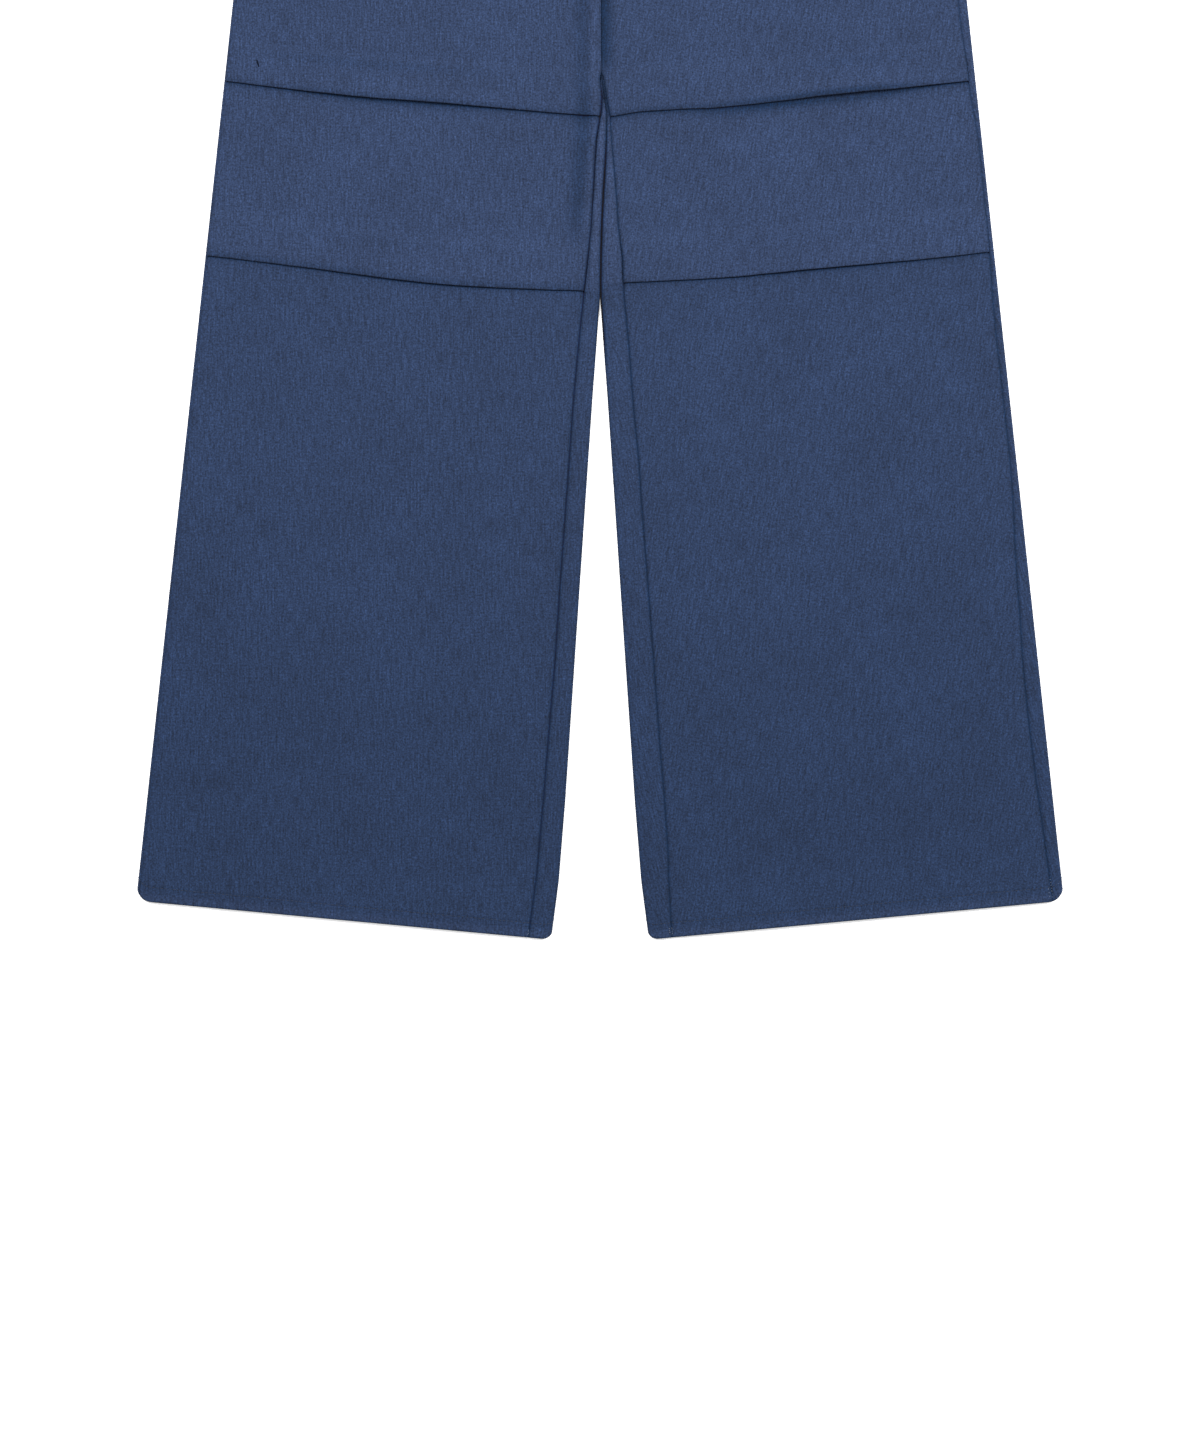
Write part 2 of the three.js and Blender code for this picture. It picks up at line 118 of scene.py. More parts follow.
outseam = {
    "right": {"y": [-476, 432], "in": [0, 0]},
    "left": {
        "y": [
            -476, -413, -383, -352, -305, -261, -231, -200, -170, -140,
            -109, -18, 12, 43, 73, 134, 164, 225, 432,
        ],
        "in": [8, 9.5, 10.3, 11.4, 12.2, 11.8, 10.3, 9.5, 8, 6.1, 5, 5.4, 5, 3.8, 3.5, 2.7, 5, 6.9, 5.6],
    },
}


def named(fields, rows):
    return [dict(zip(fields.split(), row)) for row in rows]


# The two tucks of each front, the lower first
tuckDepth = 28
closeBelow, closeAbove = 30, 54  # how far the fine rows reach from a tuck's edge
tuckFields = "line slant sag sagAt open openAt openWidth"
tucks = {
    "right": named(tuckFields, [
        (18.1, 0.0935, 4.9, 0.42, 0.7, 0.45, 0.28),
        (151.4, 0.0955, 2.5, 0.6, 1.8, 0.52, 0.26),
    ]),
    "left": named(tuckFields, [
        (23.9, 0.0845, 2.6, 0.45, 0.8, 0.55, 0.26),
        (151.3, 0.0975, 1.6, 0.6, 3.0, 0.68, 0.2),
    ]),
}

# How each tuck's line wanders off its smooth curve, at even steps from the inseam to the outseam
wanders = {
    "right": [
        [0, -0.75, -0.6, -0.4, -0.3, 0, 0.4, 0.65, 0.3, 0.1, 0],
        [0, -0.1, 0.3, 0.6, 0.9, 0.75, 0.15, 0.05, -0.25, -0.4, 0],
    ],
    "left": [
        [0, -0.6, -0.8, -0.65, 0.15, 0.65, 0.5, 0.1, -0.5, -0.6, 0],
        [0, 1.3, 0.7, -0.75, -0.5, 0.1, 0.9, 0.8, 0.15, 0, 0],
    ],
}

# Soft troughs and ridges pressed into each front. x is outwards from the centre line, turn is in
# degrees from the crosswise direction, high is negative for a trough.
creaseFields = "x y turn long wide high"
creases = {
    "right": named(creaseFields, [
        (190, -16, 18, 62, 13, -0.5),
        (263, -73, 40, 42, 24, -0.55),
        (172, -73, 25, 17, 5, -0.25),
        (212, -185, 4, 66, 28, -0.6),
        (248, -160, 70, 22, 11, 0.3),
        (82, -117, 20, 30, 18, 0.35),
        (162, -271, 62, 13, 3.5, -0.2),
        (76, -408, 75, 42, 22, -0.5),
        (203, -342, 3, 92, 36, -0.6),
        (130, -300, 84, 80, 26, 0.35),
        (236, 92, 80, 34, 16, 0.35),
        (120, 86, -14, 52, 17, -0.35),
        (90, 212, 12, 60, 20, 0.4),
        (214, 224, -8, 48, 22, -0.4),
        (60, 330, 62, 70, 18, -0.5),
        (160, 345, 74, 56, 20, 0.5),
        (110, 398, 84, 38, 12, -0.35),
    ]),
    "left": named(creaseFields, [
        (167, -89, -36, 58, 40, -0.7),
        (198, 10, 17, 60, 10, -0.4),
        (279, -8, 86, 46, 10, 0.4),
        (238, -13, 82, 36, 12, -0.35),
        (101, -109, 88, 32, 9, -0.3),
        (228, -123, 15, 18, 4.5, -0.25),
        (173, -231, 40, 34, 18, 0.35),
        (268, -175, 60, 36, 12, -0.4),
        (258, -317, 10, 44, 22, -0.5),
        (248, -282, 34, 30, 12, 0.35),
        (92, -330, 82, 84, 26, -0.4),
        (190, -400, 6, 70, 24, -0.4),
        (41, 73, 60, 16, 9, -0.3),
        (51, 153, 10, 20, 9, -0.3),
        (150, 92, 76, 36, 18, 0.35),
        (232, 84, -10, 44, 17, -0.3),
        (96, 222, -18, 56, 22, -0.4),
        (204, 216, 8, 50, 20, 0.4),
        (72, 336, 70, 66, 18, 0.45),
        (168, 352, -68, 58, 18, -0.5),
        (120, 402, 80, 34, 12, 0.35),
    ]),
}


def lerp(low, high, share):
    return low + (high - low) * share


def smooth(x, low, high):
    share = np.clip((x - low) / (high - low), 0, 1)
    return share * share * (3 - 2 * share)


def hump(x, middle, width):
    return np.exp(-(((x - middle) / width) ** 2))


def readTable(table, y, column):
    return float(np.interp(y, table["y"], table[column]))


def outerEdge(y):
    up = y - garment["hipLine"]
    flared = garment["hipHalf"] - garment["legFlare"] * up
    if up <= 0:
        return flared
    span = garment["waistSeam"] - garment["hipLine"]
    curve = garment["hipHalf"] - garment["legFlare"] * span - garment["waistHalf"]
    return flared - curve * (up / span) ** garment["hipCurve"]


def rowTable(side):
    low, high = tucks[side]
    return {
        "y": [garment["hemLine"], low["line"], high["line"], garment["waistSeam"]],
        "slant": [garment["legSplay"], low["slant"], high["slant"], 0],
        "sag": [0, low["sag"], high["sag"], 0],
        "sagAt": [low["sagAt"], low["sagAt"], high["sagAt"], high["sagAt"]],
    }


# The centre line bends a little below the crotch, where one thigh lies on the other.
def swayed(x, y):
    reach = np.where(y > 150, 25, 65)
    fade = np.clip(1 - np.abs(x) / 60, 0, 1) ** 2
    return x + 4.8 * np.exp(-(((y - 150) / reach) ** 2)) * fade


def ridgeCrest(y):
    return 6.0 + 0.045 * np.clip(195 - y, 0, 200)


# The ridge and the valley at the front seam end where the fly flap begins.
def belowFlap(y):
    return 1 - smooth(y, 241, 265)


# The ridge beside the right front's seam, and the valley on the left one's.
def largeRelief(side, x, y):
    if side == "right":
        return 2.3 * hump(x, ridgeCrest(y), 4.8) * (smooth(y, 30, 95) * belowFlap(y))
    rise = smooth(y, garment["crotch"] - 12, garment["crotch"] + 18) * belowFlap(y)
    return -1.7 * hump(x, 0, 10) * rise


def creaseRelief(side, x, y):
    total = np.zeros_like(x)
    for fold in creases[side]:
        angle = math.radians(fold["turn"])
        across, up = x - fold["x"], y - fold["y"]
        along = across * math.cos(angle) + up * math.sin(angle)
        aside = up * math.cos(angle) - across * math.sin(angle)
        along = along + 0.14 * aside  # a crease is never quite straight
        total = total + fold["high"] * hump(along, 0, fold["long"]) * hump(aside, 0, fold["wide"])
    wander = 0.1 * np.sin(x / 23 + y / 61) + 0.08 * np.sin(y / 27 - x / 47 + 1.3)
    ripple = 0.05 * np.sin(x / 6.3 + 2 * np.sin(y / 31)) * np.sin(y / 19 + x / 71)
    return 1.7 * total + wander + ripple


# How strongly each tuck's hidden inner fold marks the layer above it, with a trough and with painted shade,
# along the tuck
foldMarks = {
    "right": [{"high": 0.3, "at": 0.5, "wide": 0.3}, {"high": 1, "at": 0.62, "wide": 0.3}],
    "left": [{"high": 0.2, "at": 0.5, "wide": 0.3}, {"high": 0.7, "at": 0.68, "wide": 0.14}],
}


def foldShare(side, across, which):
    mark = foldMarks[side][which]
    return mark["high"] * hump(across, mark["at"], mark["wide"])


# The mark itself, and how the cloth rises from the edge of the tuck.
def tuckRelief(side, across, up, which):
    pillow = 1.0 * (1 - np.exp(-max(up, 0) / 3.5)) * (1 - float(smooth(up, 14, 36)))
    return pillow - foldShare(side, across, which) * hump(up, tuckDepth + 5, 5)


# The hem turns up in a round at both ends.
def cornerRise(row, x):
    fade = 1 - float(smooth(row["height"] - garment["hemLine"], 0, garment["cornerFade"]))
    total = np.zeros_like(x)
    corners = ((row["outer"], 1, garment["outerCorner"]), (row["inner"], -1, garment["innerCorner"]))
    for edge, way, corner in corners:
        over = np.clip((x - edge) * way / corner + 1, 0, 0.995)
        total = total + corner * (1 - np.sqrt(1 - over**2))
    return total * fade


def legRow(side, height):
    table = rowTable(side)
    slant = readTable(table, height, "slant")

    def meets(edge):
        half = 0.0
        for turn in range(8):
            half = edge(height + slant * half)
        return half

    inner = meets(lambda y: readTable(innerEdge, y, "half"))
    outer = meets(outerEdge)
    up = height - garment["hemLine"]
    toWaist = float(smooth(height, garment["waistSeam"] - 95, garment["waistSeam"] - 5))
    toHem = 1 - float(smooth(up, garment["hemTurn"] + 1, 45))
    step = lerp(lerp(loft["edgeStep"], loft["hemStep"], toHem), loft["waistStep"], toWaist)
    wrapped = loft["resting"] + step / 2
    yIn = height + slant * inner
    yOut = height + slant * outer
    gap = cloth["seamSlit"] / 2
    turned = wrapped + gap + 0.4
    crotch = garment["crotch"]
    return {
        "side": side,
        "height": height,
        "slant": slant,
        "gap": gap,
        "sag": readTable(table, height, "sag"),
        "sagAt": readTable(table, height, "sagAt"),
        "inner": inner,
        "outer": outer,
        "seamIn": inner + max(readTable(inseam[side], yIn, "in"), turned),
        "seamOut": outer - max(readTable(outseam[side], yOut, "in"), turned),
        "open": float(smooth(yIn, crotch - 1, crotch + 6)),
        "wrap": lerp(180, 100, float(smooth(yIn, crotch - 4, crotch + 3))),
        "back": lerp(loft["resting"], backBand, toWaist),
        "step": step,
        "puff": lerp(loft["legPuff"], loft["hipPuff"], float(smooth(height, crotch, 300))) * (1 - toWaist),
        "rise": loft["centreRise"] * float(smooth(yIn, crotch - 6, crotch + 12)) * (1 - toWaist),
    }


# Near the centre line the walls lean a little to one side, so no light falls through the slit.
def placed(row, x, y, z):
    lean = 0.6 * (np.clip(z, 0, 2.2) - 1.3) * np.clip(1 - np.abs(x) / 16, 0, 1)
    turned = cornerRise(row, x)
    narrowed = x - garment["legFlare"] * turned
    return np.stack([swayed(sides[row["side"]] * narrowed, y) + lean, y + turned, z], axis=-1)


def sagShape(across, lowest):
    turned = np.where(across < lowest, across / lowest, (1 - across) / (1 - lowest))
    return np.sin(np.clip(turned, 0, 1) * math.pi / 2) ** 1.5


def wandered(side, height, across):
    step = np.clip(np.floor(across * 10), 0, 9).astype(int)
    share = smooth(across * 10 - step, 0, 1)
    total = np.zeros_like(across)
    for tuck, heights in zip(tucks[side], wanders[side]):
        values = np.array(heights)
        total = total + lerp(values[step], values[step + 1], share) * hump(height, tuck["line"], 40)
    return total


# Points of a front across one row, from the inseam or front seam, 0, to the outseam, 1.
def frontPoints(row, across, lift):
    side = row["side"]
    first = lerp(row["seamIn"], row["inner"], row["open"]) + row["gap"]
    last = row["seamOut"] - row["gap"]
    x = lerp(first, last, across)
    y = row["height"] + row["slant"] * x - row["sag"] * sagShape(across, row["sagAt"])
    y = y + wandered(side, row["height"], across)
    puff = row["puff"] * (1 - (2 * across - 1) ** 4)
    raised = row["rise"] * (1 - smooth(x, 10, 70))
    dip = cloth["seamDip"] * hump(x, first, cloth["seamReach"])
    dip = dip + cloth["outerDip"][side] * hump(x, last, cloth["seamReach"])
    calm = smooth(x - first, 0, 22) * smooth(last - x, 0, 22)
    relief = largeRelief(side, x, y) + creaseRelief(side, x, y) * calm
    z = row["back"] + row["step"] + puff + raised + lift + relief - dip
    return placed(row, x, y, z), x


stripRise = {"right": 0.5, "left": 0.22}  # of the strip between the leg's inner edge and the inseam


# The seams rise to meet the three layers of each tuck.
def seamRise(side, height):
    total = 0.0
    for tuck in tucks[side]:
        up = height - tuck["line"]
        ended = float(smooth(up, tuckDepth - 1, tuckDepth + 8))
        total += 1.15 * float(smooth(up, -2.5, 0.5)) * (1 - ended)
    return total


# Points of a back along one row: outseam, outer fold, underside, inner fold, inseam.
def backPoints(row, inward):
    radius = row["step"] / 2
    bend = radius - inward
    middle = row["back"] + radius
    outside = row["outer"] - cloth["shown"] / 2 - radius
    inside = row["inner"] + cloth["shown"] / 2 + radius
    seam = row["seamOut"] + row["gap"]
    strip = [0, 0.1, 0.25, 0.45, 0.7]
    points = [(lerp(seam, outside, share), middle + bend) for share in strip]
    turns = 8
    for k in range(turns + 1):
        angle = math.pi * (1 - k / turns)
        points.append((outside + bend * math.sin(angle), middle - bend * math.cos(angle)))
    flats = [0.007, 0.015, 0.024, 0.034, 0.046]
    flats += [*np.linspace(0.06, 0.94, 50), 0.954, 0.966, 0.976, 0.985, 0.993]
    points += [(lerp(outside, inside, share), middle - bend) for share in flats]  # the underside
    end = math.radians(row["wrap"])
    for k in range(turns + 1):
        angle = end * k / turns
        points.append((inside - bend * math.sin(angle), middle - bend * math.cos(angle)))
    x, z = points[-1]
    width = row["seamIn"] - row["gap"] - inside if row["wrap"] > 179 else 0.3
    inner = (0.08, 0.18, 0.3, 0.42, 0.54, 0.66, 0.76, 0.84, 0.9, 0.95, 1)
    for share in inner:
        points.append((x - width * share * math.cos(end), z + width * share * math.sin(end)))
    x, z = np.array(points).T
    dips = np.zeros_like(z)
    rise = seamRise(row["side"], row["height"])
    dips[:5] -= rise * (1 - np.array(strip))
    dips[:5] += cloth["outerDip"][row["side"]] * hump(x[:5], seam, cloth["seamReach"])
    if row["wrap"] > 179:
        top = slice(-len(inner), None)
        dips[top] += cloth["seamDip"] * hump(x[top], x[-1], cloth["seamReach"])
        dips[top] -= rise * smooth(np.array(inner), 0, 1)
        swell = hump(x[top], lerp(inside, x[-1], 0.45), 0.33 * width + 0.5)
        dips[top] -= stripRise[row["side"]] * min(1, width / 8) * swell
    return placed(row, x, row["height"] + row["slant"] * x, z - dips), x


def arc(middle, outwards, low, high):
    # half a turn of cloth between two layers, as pairs of height and lift
    centre, half = (low + high) / 2, (low - high) / 2
    pairs = []
    for degrees in (18, 54, 90, 126, 162):
        angle = math.radians(degrees)
        bulge = outwards * foldRadius * (math.sin(angle) - 1)
        pairs.append((middle + bulge, centre + half * math.cos(angle)))
    return pairs


def spaced(low, high, pitch):
    count = max(1, round((high - low) / pitch))
    return [lerp(low, high, k / count) for k in range(count)]


def hemProfile(top):
    turn = garment["hemTurn"]
    under = [(up, layerStep) for up in (turn, 10, 8, 6, 4, 2, foldRadius)]
    over = (foldRadius, 1.2, 2, 3, 4, 5, 6, 7.5, 9, 10, 10.5, 11, 11.5, turn, 13.5, 14.5, 16)
    return [*under, *arc(0, -1, layerStep, 0), *((up, 0) for up in (*over, *spaced(18, top, 4)))]


# The turned-up hem stands a little proud, and its sewing sinks in.
def hemRelief(up):
    return 0.4 * (1 - float(smooth(up, 12.2, 16))) - 0.22 * float(hump(up, garment["hemSewing"], 0.8))


def tuckLift(up):
    return 2 * layerStep * (1 - smooth(up, tuckDepth - 0.5, tuckDepth + 9))


def tuckProfile():
    depth, top = tuckDepth, 2 * layerStep
    shaded = (-8, -6.5, -5.2, -4, -3, -2.2, -1.5, -0.9, -0.3)
    hidden = (*spaced(0.3, depth - foldRadius, 3.5), depth - foldRadius)
    lower = [(up, 0) for up in (*spaced(-closeBelow, -8, 3.5), *shaded, *hidden)]
    middle = [(up, layerStep) for up in reversed([foldRadius, *spaced(3.5, depth, 3.5)])]
    upper = [(up, tuckLift(up)) for up in (foldRadius, 1.4, 2.4, 3.6, *spaced(5, closeAbove, 2))]
    return [*lower, *arc(depth, 1, 0, layerStep), *middle, *arc(0, -1, layerStep, top), *upper]


print("sizes worked out")


# Cloth sheets

def activate(thing):
    bpy.ops.object.select_all(action="DESELECT")
    thing.select_set(True)
    bpy.context.view_layer.objects.active = thing


def applyModifier(thing, kind, **values):
    activate(thing)
    modifier = thing.modifiers.new(kind.title(), kind)
    for key, value in values.items():
        setattr(modifier, key, value)
    bpy.ops.object.modifier_apply(modifier=modifier.name)


def meshFrom(name, vertices, faces):
    mesh = bpy.data.meshes.new(name)
    mesh.from_pydata(vertices.tolist(), [], faces.tolist())
    thing = bpy.data.objects.new(name, mesh)
    bpy.context.scene.collection.objects.link(thing)
    return thing


def gridFaces(rows, columns):
    corner = np.arange((rows - 1) * columns).reshape(rows - 1, columns)[:, :-1].ravel()
    return np.stack([corner, corner + 1, corner + columns + 1, corner + columns], axis=1)


# A thin shell round a grid of points, with the cloth's own coordinates as its UV map.
def clothSheet(name, grid, patch, tone, thickness, node):
    rows, columns = grid.shape[:2]
    thing = meshFrom(name, grid.reshape(-1, 3) * mm, gridFaces(rows, columns))
    mesh = thing.data
    uvLayer = mesh.uv_layers.new(name="weave")
    corners = np.empty(len(mesh.loops), dtype=np.int32)
    mesh.loops.foreach_get("vertex_index", corners)
    flat = patch.reshape(-1, 2)[corners] * mm
    uvLayer.data.foreach_set("uv", flat.astype(np.float32).ravel())
    shade = mesh.attributes.new("tone", "FLOAT", "POINT")
    shade.data.foreach_set("value", tone.astype(np.float32).ravel())
    applyModifier(thing, "SOLIDIFY", thickness=thickness * mm, offset=0)
    activate(thing)
    bpy.ops.object.shade_smooth_by_angle(angle=math.radians(50))
    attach(thing, "root")
    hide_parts(node)
    return thing


def rotated(patch, degrees):
    angle = math.radians(degrees)
    u, v = patch[..., 0], patch[..., 1]
    turnedU = u * math.cos(angle) - v * math.sin(angle)
    turnedV = u * math.sin(angle) + v * math.cos(angle)
    return np.stack([turnedU, turnedV], axis=-1)


# Distance along a line from its first point to each point
def reachAlong(points):
    return np.concatenate([[0], np.cumsum(np.linalg.norm(np.diff(points, axis=0), axis=1))])


grain = {"right": 0.0, "left": 9.5}  # degrees that each leg's grain turns out towards its hem

# Where a front's columns lie across it, closer together near the seams
columnsAt = [0, 0.6, 1.2, 2, 3, 4.5, 7, 10, *range(14, 289, 4)]
columnsAt += [290, 293, 295.5, 297, 298, 298.8, 299.4, 300]
acrossAt = np.array(columnsAt) / columnsAt[-1]

panelTop = garment["waistSeam"] - cloth["seamSlit"]


def frontProfile(side):
    low, high = tucks[side]
    hem = garment["hemLine"]
    rows = [(hem + up, -lift, None, up) for up, lift in hemProfile(low["line"] - closeBelow - hem)]
    for which, tuck in enumerate((low, high)):
        rows += [(tuck["line"] + up, lift, which, up) for up, lift in tuckProfile()]
        above = high["line"] - closeBelow if which == 0 else panelTop
        rows += [(height, 0, None, 0) for height in spaced(tuck["line"] + closeAbove, above, 4)]
    return [*rows, (panelTop, 0, None, 0)]


# How light the cloth is: darker below the lower tuck, with painted shade darkening the leg
# towards its hem, a lighter band at each hem's edge and painted shade along the hem's sewing.
def toneAndShadeAt(side, height, up):
    low = tucks[side][0]["line"]
    tone = 1 - 0.12 * (1 - smooth(height, low - 1, low + 1)) - 0.14 * (1 - smooth(height, -470, low))
    return tone + 0.16 * (1 - smooth(up, 3, 8)) - 0.09 * hump(up, garment["hemSewing"], 1.2)


# Painted shade in the seams, where the cloth turns down into a seam: how strong it is along each seam.
seamShading = {
    "y": [-473, -465, -250, 0, 60, 170, 190, 240, 262, 432],
    "right": [0.2, 0.55, 0.72, 0.8, 1, 0.95, 0.15, 0.15, 0.7, 0.7],
    "left": [0.2, 0.38, 0.52, 0.6, 0.72, 0.6, 0.15, 0.15, 0.6, 0.6],
}
outerSeamShading = {"right": 0.12, "left": 0.42}


# Painted shade along a seam's groove: a narrow dark core and a soft wider edge
def paintedGrooveShade(x, seam, strength):
    return -strength * hump(x, seam, 0.78) - 0.15 * strength * hump(x, seam, 2.8)


# The front seam lies in a valley, and painted shade darkens its left flank. The right front's ridge
# gets a painted highlight along its crest and painted shade on its outer flank.
def paintedValleyShade(side, x, y):
    if side == "right":
        crest = ridgeCrest(y)
        fade = smooth(y, 40, 90) * belowFlap(y)
        flank = lerp(0.34, 0.22, smooth(y, 150, 185))
        return (0.18 * hump(x, crest - 0.4, 2.2) - flank * hump(x, crest + 7.2, 6.5)) * fade
    rise = smooth(y, garment["crotch"] - 6, garment["crotch"] + 20) * belowFlap(y)
    return -0.57 * rise * (1 - smooth(x, 2, 13.5))


# Painted shade over the hidden inner fold of a tuck
def paintedFoldShade(side, across, up, which):
    return -0.17 * hump(up, tuckDepth - 1, 5) * foldShare(side, across, which)


# How much shade is painted above and below the edge of each tuck, the lower tuck first
shadeFields = "above more reach widen below soft endFade"
tuckShades = {
    "right": named(shadeFields, [
        (0.2, 0, 3.2, 0, 0.18, 0, 0),
        (0.14, 0.04, 1.8, 0.1, 0.36, 0, 0),
    ]),
    "left": named(shadeFields, [
        (0.02, 0, 2, 0, 0.2, 0, 0),
        (0.2, 0.08, 1.6, 0.55, 0.38, 0.34, 0.8),
    ]),
}


# Painted shade at a tuck's edge for one row of a front, made lighter where the tuck gapes
def tuckShade(side, which, across, up, lift):
    tuck, tones = tucks[side][which], tuckShades[side][which]
    opened = tuck["open"] * hump(across, tuck["openAt"], tuck["openWidth"])
    softly = tones["soft"] * hump(across, 0.42, 0.17)
    if lift >= 1.8 * layerStep:
        strength = tones["above"] + tones["more"] * opened + 0.35 * softly
        strength = strength * (1 - tones["endFade"] * smooth(across, 0.8, 0.93))
        reach = tones["reach"] + tones["widen"] * opened + 3 * softly
        return -strength * hump(up, 1.2, reach) if up < 11 else 0
    if not -9 < up < 5:
        return 0
    core = (0.7 - 0.12 * opened) * hump(up, 0.5, 1.3 + 0.3 * opened) * (1 - smooth(lift, 1.0, 1.75))
    lit = 1 - np.clip(0.5 * (opened - 0.9) + 1.2 * softly, 0, 0.92) * hump(up, 0.4, 1.6)
    if lift >= 0.1:
        return -core * lit
    wide = tones["below"] * (0.75 * hump(up, 0, 2.8) + 0.25 * hump(up, -2, 6))
    wide = wide + 0.18 * opened * hump(up, 0.5, 2.6 + 1.2 * opened)
    wide = wide + softly * hump(up, -3, 4.5)
    return -np.minimum(core + wide, 0.84 - 0.13 * opened) * lit


fronts, backs, grids = {}, {}, {}


def finishPanel(part, side, profile, points, patch, tone, turn):
    grid = np.array(points)
    grids[part, side] = (grid, profile)
    patch = rotated(np.array(patch), turn)
    return clothSheet(
        f"{part}_panel_{side}", grid, patch, np.array(tone), cloth["shown"], f"{part}_{side}",
    )


def makeFront(side):
    profile = frontProfile(side)
    length = reachAlong([row[:2] for row in profile])
    points, patch, tone = [], [], []
    for (height, lift, which, up), reach in zip(profile, length):
        overHem = height - garment["hemLine"]
        raised = np.full_like(acrossAt, float(lift) + (hemRelief(overHem) if lift == 0 else 0))
        if which is not None:
            tuck = tucks[side][which]
            if lift > 0:
                opened = tuck["open"] * hump(acrossAt, tuck["openAt"], tuck["openWidth"]) * hump(up, 0, 9)
                raised += opened * (1 - smooth(up, 0.5 * tuckDepth, 0.9 * tuckDepth))
            if lift > 1.5 * layerStep or (up > tuckDepth + 1 and lift < 2 * layerStep):
                raised += tuckRelief(side, acrossAt, up, which)
        row = legRow(side, height)
        line, x = frontPoints(row, acrossAt, raised)
        points.append(line)
        patch.append(np.stack([sides[side] * x, reach + row["slant"] * x], axis=-1))
        # Painted shade along both seams, and the front seam's painted shade and highlight
        seamDarkness = readTable(seamShading, line[0][1], side)
        shade = toneAndShadeAt(side, height, overHem) + paintedValleyShade(side, x, line[:, 1])
        shade += paintedGrooveShade(x, x[0], seamDarkness) + paintedGrooveShade(x, x[-1], outerSeamShading[side])
        # Painted shade along the hem's folded edge
        if which is None and overHem < 2:
            shade -= 0.5 * hump(overHem, 0, 0.7)
        if which is not None:
            shade += tuckShade(side, which, acrossAt, up, lift)
        if which is not None and (lift > 0 or up > tuckDepth):
            shade += paintedFoldShade(side, acrossAt, up, which)
        tone.append(shade)
    fronts[side] = finishPanel("front", side, profile, points, patch, tone, grain[side])


# How strong the painted highlight is along the middle of each leg's rounded inseam strip
stripHighlight = {"right": 0.25, "left": 0.14}


def makeBack(side):
    low, high = tucks[side]
    hem = garment["hemLine"]
    profile = [(hem + up, inward) for up, inward in hemProfile(low["line"] - closeBelow - hem)]
    crotch = garment["crotch"]
    heights = [*spaced(low["line"] - closeBelow, crotch - 9, 5), *spaced(crotch - 9, crotch + 24, 1.5)]
    heights += [*spaced(crotch + 24, panelTop, 5), panelTop]
    heights += [tuck["line"] + up for tuck in (low, high) for up in (-3, -1.6, -0.4, 0.8)]
    heights.sort()
    profile += [(height, 0) for height in heights]
    length = reachAlong(profile)
    points, patch, tone = [], [], []
    for (height, inward), reach in zip(profile, length):
        row = legRow(side, height)
        line, x = backPoints(row, inward)
        points.append(line)
        around = reachAlong(line[:, [0, 2]])
        patch.append(np.stack([sides[side] * around, reach + row["slant"] * x], axis=-1))
        # Painted shade along the seams, the hem's edge and the line where the two legs meet, and a painted
        # highlight along the inseam strip
        marks = np.zeros_like(x)
        marks[:5] = paintedGrooveShade(x[:5], row["seamOut"], outerSeamShading[side])
        top = line[-1][1]
        if row["wrap"] > 179:
            pale = stripHighlight[side] * float(smooth(top, 15, 70))
            middle = lerp(row["inner"], row["seamIn"], 0.5)
            marks[-11:] = paintedGrooveShade(x[-11:], row["seamIn"], readTable(seamShading, top, side))
            marks[-11:] += pale * hump(x[-11:], middle, 0.35 * (row["seamIn"] - row["inner"]))
        meeting = lerp(0.3, 1.15, float(smooth(top, -45, -5))) - 0.7 * float(smooth(top, 100, 160))
        marks[-20:] += paintedGrooveShade(x[-20:], row["inner"] + 0.3, meeting)
        marks -= 0.5 * hump(height - hem, 0, 0.7)
        tone.append(toneAndShadeAt(side, height, height - hem) + marks)
    backs[side] = finishPanel("back", side, profile, points, patch, tone, -grain[side])


for side in sides:
    makeBack(side)
    makeFront(side)
print("panels made")


def bareSheetTone(grid):
    return np.ones(grid.shape[:2])


# The flap over the front opening
flap = {"width": 34, "overlap": 2.3, "bottom": 267, "bend": 36, "edgeShade": (0.55, 0.45, 0.12)}


def makeFlap():
    bottom, bend = flap["bottom"], flap["bend"]
    lowerEnd = [bottom + bend * math.cos(math.radians(degrees)) for degrees in range(6, 91, 6)]
    points, patch = [], []
    for height in [panelTop, *reversed(spaced(bottom + bend, panelTop, 4)), *lowerEnd]:
        down = min(1, max(0, (bottom + bend - height) / bend))
        reach = lerp(5, flap["width"], math.sqrt(1 - down**2))
        row = legRow("right", height)
        span = row["seamOut"] - row["inner"]
        shares = np.array([1, 0.985, 0.95, 0.88, 0.78, 0.66, 0.54, 0.42, 0.3, 0.18, 0.08, 0]) * reach / span
        side = frontPoints(row, shares, layerStep)[0]
        x, y, z = side[-1]
        edge = [[lerp(x, flap["overlap"], share), height, z] for share in (0.5, 1)]
        line = np.vstack([side, edge])
        line[:, 2] += 0.05
        points.append(line)
        patch.append(line[:, :2])
    grid = np.array(points)
    grids["flap"] = grid
    tone = bareSheetTone(grid)
    # Painted shade along the flap's edges
    tone[:, :3] -= flap["edgeShade"]
    tone[:, -1] -= flap["edgeShade"][0]
    return clothSheet("fly_cover", grid, np.array(patch), tone, cloth["shown"], "fly_flap")


flyCover = makeFlap()


# Flattened rings and straps, as paths of x and z

